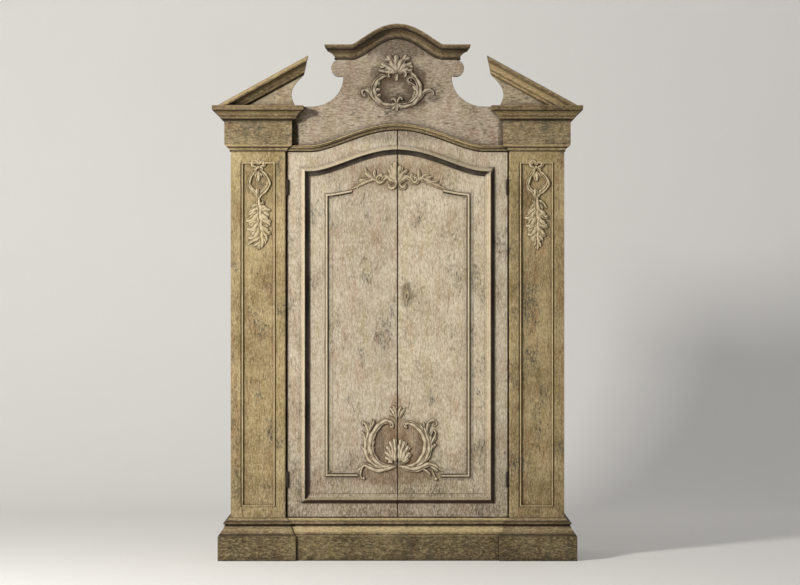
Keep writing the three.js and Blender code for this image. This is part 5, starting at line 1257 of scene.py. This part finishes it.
class CUPBOARD_OT_pediment(bpy.types.Operator):
    """Raking cornices over the tympanums of the broken pediment"""
    bl_idname = "cupboard.pediment"
    bl_label = "Broken pediment"

    def execute(self, context):
        look = painted("raking_paint", "cornice", True)
        for number, (name, side) in enumerate(SIDES.items()):
            self.raking(name, side, look, number)
            field = painted(f"tympanum_paint_{name}", "tympanum", True)
            softened(f"tympanum_{name}", field, "case", mouldings().arris)
        return {"FINISHED"}

    def raking(self, name, side, look, number):
        """One raking cornice: the cornice's profile hung below a sloping line, cut level at its foot and leaning at its
        head; the cuts pass into each other along the run."""
        node = f"raking_cornice_{name}"
        low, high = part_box(node)
        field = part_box(f"tympanum_{name}")[0][1]
        height, reach = CORNICE_TOP - FRIEZE_TOP, field - low[1]
        foot = np.array([max(abs(low[0]), abs(high[0])), low[2]])
        head = np.array([min(abs(low[0]), abs(high[0])), high[2]])
        slope = (head - foot) / np.linalg.norm(head - foot)
        below = np.array([-slope[1], slope[0]])
        below = below * (1 if below[1] < 0 else -1)
        level, lean = np.array([-1.0, 0.0]), np.array([RAKING_LEAN, -height])
        steps = [level / (level @ below), lean / (lean @ below)]
        inset = (field - high[1]) / reach
        shares = [(inset, 0)] + CORNICE_PROFILE + [(inset, 1)]
        profile = eased([(u * reach, (1 - v) * height) for u, v in shares])
        t = np.linspace(0, 1, RAKING_STATIONS)[:, None]
        line = foot + (head - foot) * t
        step = steps[0] * (1 - t) + steps[1] * t
        origins = np.column_stack([side * line[:, 0], np.full(len(t), field), line[:, 1]])
        ups = np.column_stack([side * step[:, 0], np.zeros(len(t)), step[:, 1]])
        shell = swept(profile, origins, facing_room(len(t)), ups, mouldings().wear, wear_of("raking", number),
                      painted_shading=even(RAKING_PAINTED_SHADINGS[name]))
        add_piece(node + "_worn", shell, look, "case", [node])


class CUPBOARD_OT_crown(bpy.types.Operator):
    """Pediment board with its arch moulding and serpentine cap"""
    bl_idname = "cupboard.crown"
    bl_label = "Centre board and cap"

    def execute(self, context):
        look = painted_outside("board_paint", "board", behind(BOARD_BACK - SKIN), True, STAINS_AND_SHADOWS["board"])
        softened("pediment_board", look, "case", ARRIS["board"], 3, True)
        self.arch()
        self.cap()
        return {"FINISHED"}

    def arch(self):
        """The moulding over the doors: level ends that lean with the cut of the posts, and the arch between."""
        half = OPENING_HALF - ARCH_END_INSET * ARCH_END_LEAN - FIT
        x = np.concatenate([[-half], np.linspace(-ARCH_SPAN, ARCH_SPAN, ARCH_STATIONS), [half]])
        origins, outs, ups = line_frame(arch_line, x)
        lean = (1 - ARCH_END_INSET) * ARCH_END_LEAN / ARCH_HEIGHT
        ups[0], ups[-1] = (lean, 0, 1), (-lean, 0, 1)
        profile = eased_loop(ARCH_PROFILE, 0.18) * (ARCH_PROJECTION, ARCH_HEIGHT)
        painted_shading = leaning(ARCH_FACING, ARCH_TURNED, ups, ARCH_SWING)
        shell = swept(profile, origins, outs, ups, mouldings().wear * 0.5, wear_of("arch"), painted_shading=painted_shading)
        look = painted("arch_paint", "frieze", True)
        add_piece("arch_moulding_worn", shell, look, "case", ["arch_moulding"])

    def cap(self):
        """The cap: from the back, round a mitred corner, level, over the serpentine crown and back again."""
        rear = reach_of(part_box("cap_moulding")[1][1])
        back = (rear + CAP_TUCK) / CAP_PROJECTION
        profile = eased([(back, 0)] + CAP_PROFILE + [(back, 1)]) * (CAP_PROJECTION, CAP_HEIGHT)
        middle = line_frame(cap_line, np.linspace(-CAP_SPAN, CAP_SPAN, CAP_STATIONS))
        turns = []
        for side in (-1, 1):
            flat = np.linspace(CAP_HALF, CAP_SPAN, 8)[1:-1] * side
            place = [(side * CAP_HALF, FACE - rear, CAP_FOOT), (side * CAP_HALF, FACE, CAP_FOOT)]
            place += [(value, FACE, CAP_FOOT) for value in flat]
            outward = [(side, 0, 0), (side, -1, 0)] + [(0, -1, 0)] * len(flat)
            upward = np.tile([0.0, 0.0, 1.0], (len(place), 1))
            turns.append((np.array(place, float), np.array(outward, float), upward))
        left, right = turns
        stations = [np.vstack([left[i], middle[i], right[i][::-1]]) for i in range(3)]
        shell = swept(profile, *stations, mouldings().wear, wear_of("cap"), painted_shading=even(CAP_PAINTED_SHADING))
        add_piece("cap_moulding_worn", shell, painted("cap_paint", "cap", True), "case",
                  ["cap_moulding"])


class CUPBOARD_OT_doors(bpy.types.Operator):
    """Door leaves: frame, flush panel, raised moulding and inner bead"""
    bl_idname = "cupboard.doors"
    bl_label = "Door leaves"

    def execute(self, context):
        frame_look = painted_outside("door_frame_paint", "door", behind(LEAF_BACK - SKIN), False, STAINS_AND_SHADOWS["door_frame"])
        panel_looks = {
            "left": painted_outside("door_panel_paint", "door", behind(PANEL_BACK - SKIN), False, STAINS_AND_SHADOWS["door_panel"]),
            # The right panel's lighter paint makes up for the lamp's fall-off
            "right": painted_outside("door_panel_paint_right", "panel_right", behind(PANEL_BACK - SKIN), False,
                                     STAINS_AND_SHADOWS["door_panel"]),
        }
        # The mouldings' darker glaze paints their shadows
        trim_shaded = painted("door_moulding_paint", "trim_shaded")
        for number, name in enumerate(SIDES):
            softened(f"door_frame_{name}", frame_look, f"door_{name}", mouldings().arris)
            softened(f"door_panel_{name}", panel_looks[name], f"door_{name}", ARRIS["panel"])
            self.ring(name, trim_shaded, number)
            self.bead(name, trim_shaded, number)
        return {"FINISHED"}

    def ring(self, name, look, number):
        """The raised moulding: foot, mitred corner, upright, mitred corner, arched head."""
        low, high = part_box("door_panel_right")
        profile = [(u * MM, v * MM) for u, v in BOLECTION_PROFILE]
        painted_shadings = (BOLECTION_FACING, BOLECTION_TURNED)
        self.frame_run("bolection", name, look, number, profile, high[0] + FIT, low[2] - FIT, panel_top,
                       SEAM_HALF, SEAM_HALF, painted_shadings)

    def bead(self, name, look, number):
        """The thin bead: it starts at the shell carving and ends under the crest."""
        low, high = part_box("bead_right")
        profile = [(u * MM, (v + BEAD_INSETS[name]) * MM) for u, v in BEAD_PROFILE]
        start = BEAD_STARTS[name] * PICTURE_SCALE
        painted_shadings = (BEAD_FACING, BEAD_TURNED)
        self.frame_run("bead", name, look, number, profile, high[0], low[2], bead_top, start, low[0] + BEAD_END, painted_shadings)

    def frame_run(self, kind, name, look, number, profile, edge, foot, head, start, end, painted_shadings):
        """A profile carried along the foot, up the edge and back along the head, mitred at both corners. A row holds a
        station's place across and up, and the inward direction across and up."""
        side, corner = SIDES[name], float(head(np.array(edge)))
        low = divided([(start, foot), (edge, foot)], DOOR_STEP)
        up = divided([(edge, foot), (edge, corner)], DOOR_STEP)
        rows = [(x, z, 0, 1) for x, z in low[:-1]] + [(edge, foot, -1, 1)]
        rows += [(x, z, -1, 0) for x, z in up[1:-1]] + [(edge, corner, -1, -1)]
        x = np.linspace(edge - MITRE_ROOM, end, HEAD_STATIONS)
        slope = slope_of(head, x)
        slope[-1] = 0
        size = np.sqrt(1 + slope ** 2)
        table = np.vstack([np.array(rows, float), np.column_stack([x, head(x), slope / size, -1 / size])])
        origins = np.column_stack([side * table[:, 0], np.full(len(table), FACE), table[:, 1]])
        ups = np.column_stack([side * table[:, 2], np.zeros(len(table)), table[:, 3]])
        shell = swept(eased_loop(profile), origins, facing_room(len(table)), ups, mouldings().wear * 0.35,
                      wear_of(kind, number), 4, leaning(*painted_shadings, ups, RING_SWING))
        add_piece(f"{kind}_{name}_worn", shell, look, f"door_{name}", [f"{kind}_{name}"])


class CUPBOARD_OT_carvings(bpy.types.Operator):
    """Cartouche, crest, shell and hanging carvings"""
    bl_idname = "cupboard.carvings"
    bl_label = "Carvings"

    def execute(self, context):
        relief = bpy.context.scene.cupboard_carvings.relief
        shell_look = painted("carving_paint", "carving")
        crest_look = painted("crest_paint", "crest")
        crown_look = painted("cartouche_paint", "cartouche")
        drop_look = painted("drop_paint", "drop")
        crown = carving(CARTOUCHE, CARTOUCHE_KNOBS, relief, 0, FULLNESS["cartouche"])
        add_piece("cartouche_carved", crown, crown_look, "case", ["cartouche"], CARVED_SHARP)
        seat = reach_of(POST_FLOOR)
        for name in SIDES:
            body = f"door_{name}"
            crest = carving(CRESTS[name], CREST_KNOBS[name], relief * CREST_RELIEF, 0, FULLNESS["crest"], name)
            add_piece(f"crest_{name}_carved", crest, crest_look, body, [f"crest_{name}"], CARVED_SHARP)
            shell = carving(SHELLS[name], SHELL_KNOBS[name], relief, 0, FULLNESS["shell"], name)
            add_piece(f"shell_{name}_carved", shell, shell_look, body, [f"shell_{name}"], CARVED_SHARP)
            drop = carving(DROPS[name], DROP_KNOBS[name], relief, seat, FULLNESS["drop"])
            add_piece(f"carved_drop_{name}_carved", drop, drop_look, "case", [f"carved_drop_{name}"],
                      CARVED_SHARP)
        return {"FINISHED"}


class CUPBOARD_OT_ironwork(bpy.types.Operator):
    """Hinges, lock, bolts and keyhole plate"""
    bl_idname = "cupboard.ironwork"
    bl_label = "Ironwork"

    def execute(self, context):
        iron = old_iron("forged_iron")
        # Hinges painted near black as the shade of the door gaps
        gap_shade_paint = painted("hinge_paint", "gap_shade")
        for name in SIDES:
            for height in ("low", "high"):
                softened(f"hinge_{height}_case_leaf_{name}", gap_shade_paint, "case", ARRIS["hinge"])
                softened(f"hinge_{height}_door_leaf_{name}", gap_shade_paint, f"door_{name}", ARRIS["hinge"])
        for node, body in (("lock_case", "door_right"), ("lock_bolt", "lock_bolt"), ("lock_keeper", "door_left"),
                           ("upper_bolt", "upper_bolt"), ("lower_bolt", "lower_bolt"),
                           ("upper_bolt_guide", "door_left"), ("lower_bolt_guide", "door_left")):
            softened(node, iron, body, ARRIS["iron"])
        plate = painted("escutcheon_paint", "carving")
        softened("escutcheon", plate, "door_right", ARRIS["escutcheon"])
        return {"FINISHED"}


class CUPBOARD_OT_carcass(bpy.types.Operator):
    """Sides, floor, top, shelves and back boards"""
    bl_idname = "cupboard.carcass"
    bl_label = "Carcass"

    def execute(self, context):
        arris = mouldings().arris
        side = painted_outside("side_paint", "post", inside_of(CASE_HALF - SKIN))
        upright = plain_wood("upright_boards", BOARD_WIDTH)
        lying = plain_wood("lying_boards", SHELF_BOARD_WIDTH)
        for name in SIDES:
            softened(f"side_board_{name}", side, "case", arris)
            self.close_joint(softened(f"back_board_{name}", upright, "case", arris))
        for node in ("floor_board", "sill_rail", "top_board", "shelf_low", "shelf_middle", "shelf_high"):
            softened(node, lying, "case", arris)
        return {"FINISHED"}

    def close_joint(self, board):
        """Brings the edge of a back board to the middle plane, so that no light shows between the two."""
        places = np.empty(len(board.data.vertices) * 3)
        board.data.vertices.foreach_get("co", places)
        across = places[0::3]
        across[np.abs(across) < BACK_GAP] = 0
        board.data.vertices.foreach_set("co", places)
        board.data.update()


class CUPBOARD_OT_stage(bpy.types.Operator):
    """Pale floor and backdrop, soft lamps and the camera"""
    bl_idname = "cupboard.stage"
    bl_label = "Stage, lamps and camera"

    def execute(self, context):
        settings = bpy.context.scene.cupboard_stage
        self.ground(settings)
        self.lamp("key", settings.key)
        self.lamp("fill", settings.fill)
        self.room(settings)
        self.camera(settings)
        bpy.context.scene.view_settings.view_transform = "Standard"
        return {"FINISHED"}

    def room(self, settings):
        """A dim even light all around, which looks pale to the rays that only look at it."""
        world = bpy.data.worlds.new("room")
        bpy.context.scene.world = world
        world.use_nodes = True
        tree = Nodes(world.node_tree)
        light = tree.node("ShaderNodeBackground", {"Color": ROOM_COLOUR, "Strength": settings.sky}).outputs[0]
        pale = {"Color": tuple(settings.ground), "Strength": settings.horizon}
        pale = tree.node("ShaderNodeBackground", pale).outputs[0]
        choice = tree.node("ShaderNodeMixShader", {0: tree.looking(), 1: light, 2: pale}).outputs[0]
        tree.node("ShaderNodeOutputWorld", {"Surface": choice})

    def ground(self, settings):
        """A sheet that runs back level, turns up in a quarter circle and stands behind: one section carried across."""
        turn = np.linspace(0, np.pi / 2, 24)
        radius, back, front, wide, tall = 1.6, 4.4, -70.0, 60.0, 9.0
        y = np.concatenate([[front], back - radius + radius * np.sin(turn), [back]])
        z = np.concatenate([[0.0], radius - radius * np.cos(turn), [tall]])
        x = np.linspace(-wide, wide, 3)
        points = np.stack([np.repeat(x[:, None], len(y), 1), np.tile(y, (3, 1)), np.tile(z, (3, 1))], -1)
        quads = grid_quads(3, len(y), False)[:, ::-1]
        mesh = bpy.data.meshes.new("ground")
        mesh.from_pydata(points.reshape(-1, 3).tolist(), [], quads.tolist())
        mesh.shade_smooth()
        mesh.materials.append(self.ground_paint(settings))
        ground = bpy.data.objects.new("ground", mesh)
        bpy.context.scene.collection.objects.link(ground)

    def ground_paint(self, settings):
        """Matt paint, a little cloudy, with painted shade over the lamps' pool of light in front, for the rays that
        only look. It has a little light of its own, more far away, and is clear to a look from behind: both again only
        for the rays that look, so the light and the shadow on it stay those of the lamps."""
        recipe = Recipe("ground_paint")
        cloud = recipe.noise(recipe.place, 0.8, 3.0)
        clouded = recipe.band(cloud, 0.3, 0.7, 0.0, 0.2)
        colour = recipe.blend(clouded, tuple(settings.ground), tint(*GROUND["clouded"]))
        seen = recipe.looking()
        shade_under_lamps = recipe.both(seen, recipe.band(recipe.axes[1], -4.2, -1.5, 0.8, 0.0))
        colour = recipe.blend(shade_under_lamps, colour, tint(*GROUND["shade_under_lamps"]))
        material = recipe.finish(colour, cloud, recipe.band(cloud, 0.3, 0.7, 0.78, 0.9), bump=0.02)
        far = recipe.vectors("LENGTH", {0: recipe.place}, "Value")
        strength = recipe.both(seen, recipe.band(far, 6.0, 24.0, settings.lift, settings.horizon))
        glow = recipe.node("ShaderNodeEmission", {"Color": tuple(settings.ground), "Strength": strength}).outputs[0]
        output = recipe.tree.nodes["Material Output"].inputs["Surface"]
        lit = recipe.node("ShaderNodeAddShader", {0: output.links[0].from_socket, 1: glow}).outputs[0]
        from_behind = recipe.both(seen, recipe.node("ShaderNodeNewGeometry").outputs["Backfacing"])
        clear = recipe.node("ShaderNodeBsdfTransparent").outputs[0]
        choice = recipe.node("ShaderNodeMixShader", {0: from_behind, 1: lit, 2: clear}).outputs[0]
        recipe.tree.links.new(choice, output)
        return material

    def lamp(self, name, power):
        """A square lamp turned towards the cupboard's middle."""
        place, size, colour = LAMPS[name]
        data = bpy.data.lights.new(name, "AREA")
        data.size = size
        data.energy = power
        data.color = colour
        lamp = bpy.data.objects.new(name, data)
        lamp.location = place
        lamp.rotation_euler = (Vector(LAMP_AIM) - Vector(place)).to_track_quat("-Z", "Y").to_euler()
        bpy.context.scene.collection.objects.link(lamp)

    def camera(self, settings):
        """A level camera on the picture's axis, whose lens is as long as the picture's scale and its distance ask."""
        data = bpy.data.cameras.new("photograph_view")
        data.sensor_width = settings.sensor
        data.sensor_fit = "HORIZONTAL"
        data.lens = settings.sensor * settings.distance / (PICTURE_WIDTH * PICTURE_SCALE)
        data.clip_end = 200
        camera = bpy.data.objects.new("photograph_view", data)
        x = (PICTURE_WIDTH / 2 - PICTURE_CENTRE) * PICTURE_SCALE
        z = (PICTURE_FLOOR - PICTURE_HEIGHT / 2) * PICTURE_SCALE
        camera.location = (x, PICTURE_PLANE - settings.distance, z)
        camera.rotation_euler = (math.pi / 2, 0, 0)
        bpy.context.scene.collection.objects.link(camera)
        bpy.context.scene.camera = camera


OPERATORS = (
    CUPBOARD_OT_stage, CUPBOARD_OT_base, CUPBOARD_OT_posts, CUPBOARD_OT_entablature, CUPBOARD_OT_pediment,
    CUPBOARD_OT_crown, CUPBOARD_OT_doors, CUPBOARD_OT_carvings, CUPBOARD_OT_ironwork, CUPBOARD_OT_carcass,
)
GROUPS = {"cupboard_mouldings": MouldingSettings, "cupboard_carvings": CarvingSettings, "cupboard_stage": StageSettings}


class CUPBOARD_PT_panel(bpy.types.Panel):
    """Lists the settings and the pieces"""
    bl_idname = "CUPBOARD_PT_panel"
    bl_label = "Painted cupboard"
    bl_space_type = "VIEW_3D"
    bl_region_type = "UI"
    bl_category = "Cupboard"

    def draw(self, context):
        for name, group in GROUPS.items():
            box = self.layout.box()
            for prop in group.__annotations__:
                box.prop(getattr(context.scene, name), prop)
        for operator in OPERATORS:
            self.layout.operator(operator.bl_idname)


def register():
    """Makes the settings, the operators and the panel known."""
    for kind in (*GROUPS.values(), *OPERATORS, CUPBOARD_PT_panel):
        bpy.utils.register_class(kind)
    for name, group in GROUPS.items():
        setattr(bpy.types.Scene, name, bpy.props.PointerProperty(type=group))


def unregister():
    """Takes them away again."""
    for name in GROUPS:
        delattr(bpy.types.Scene, name)
    for kind in reversed((*GROUPS.values(), *OPERATORS, CUPBOARD_PT_panel)):
        bpy.utils.unregister_class(kind)


def main():
    """Builds every piece in order."""
    register()
    for operator in OPERATORS:
        getattr(bpy.ops.cupboard, operator.bl_idname.split(".")[1])()


if __name__ == "__main__":
    main()
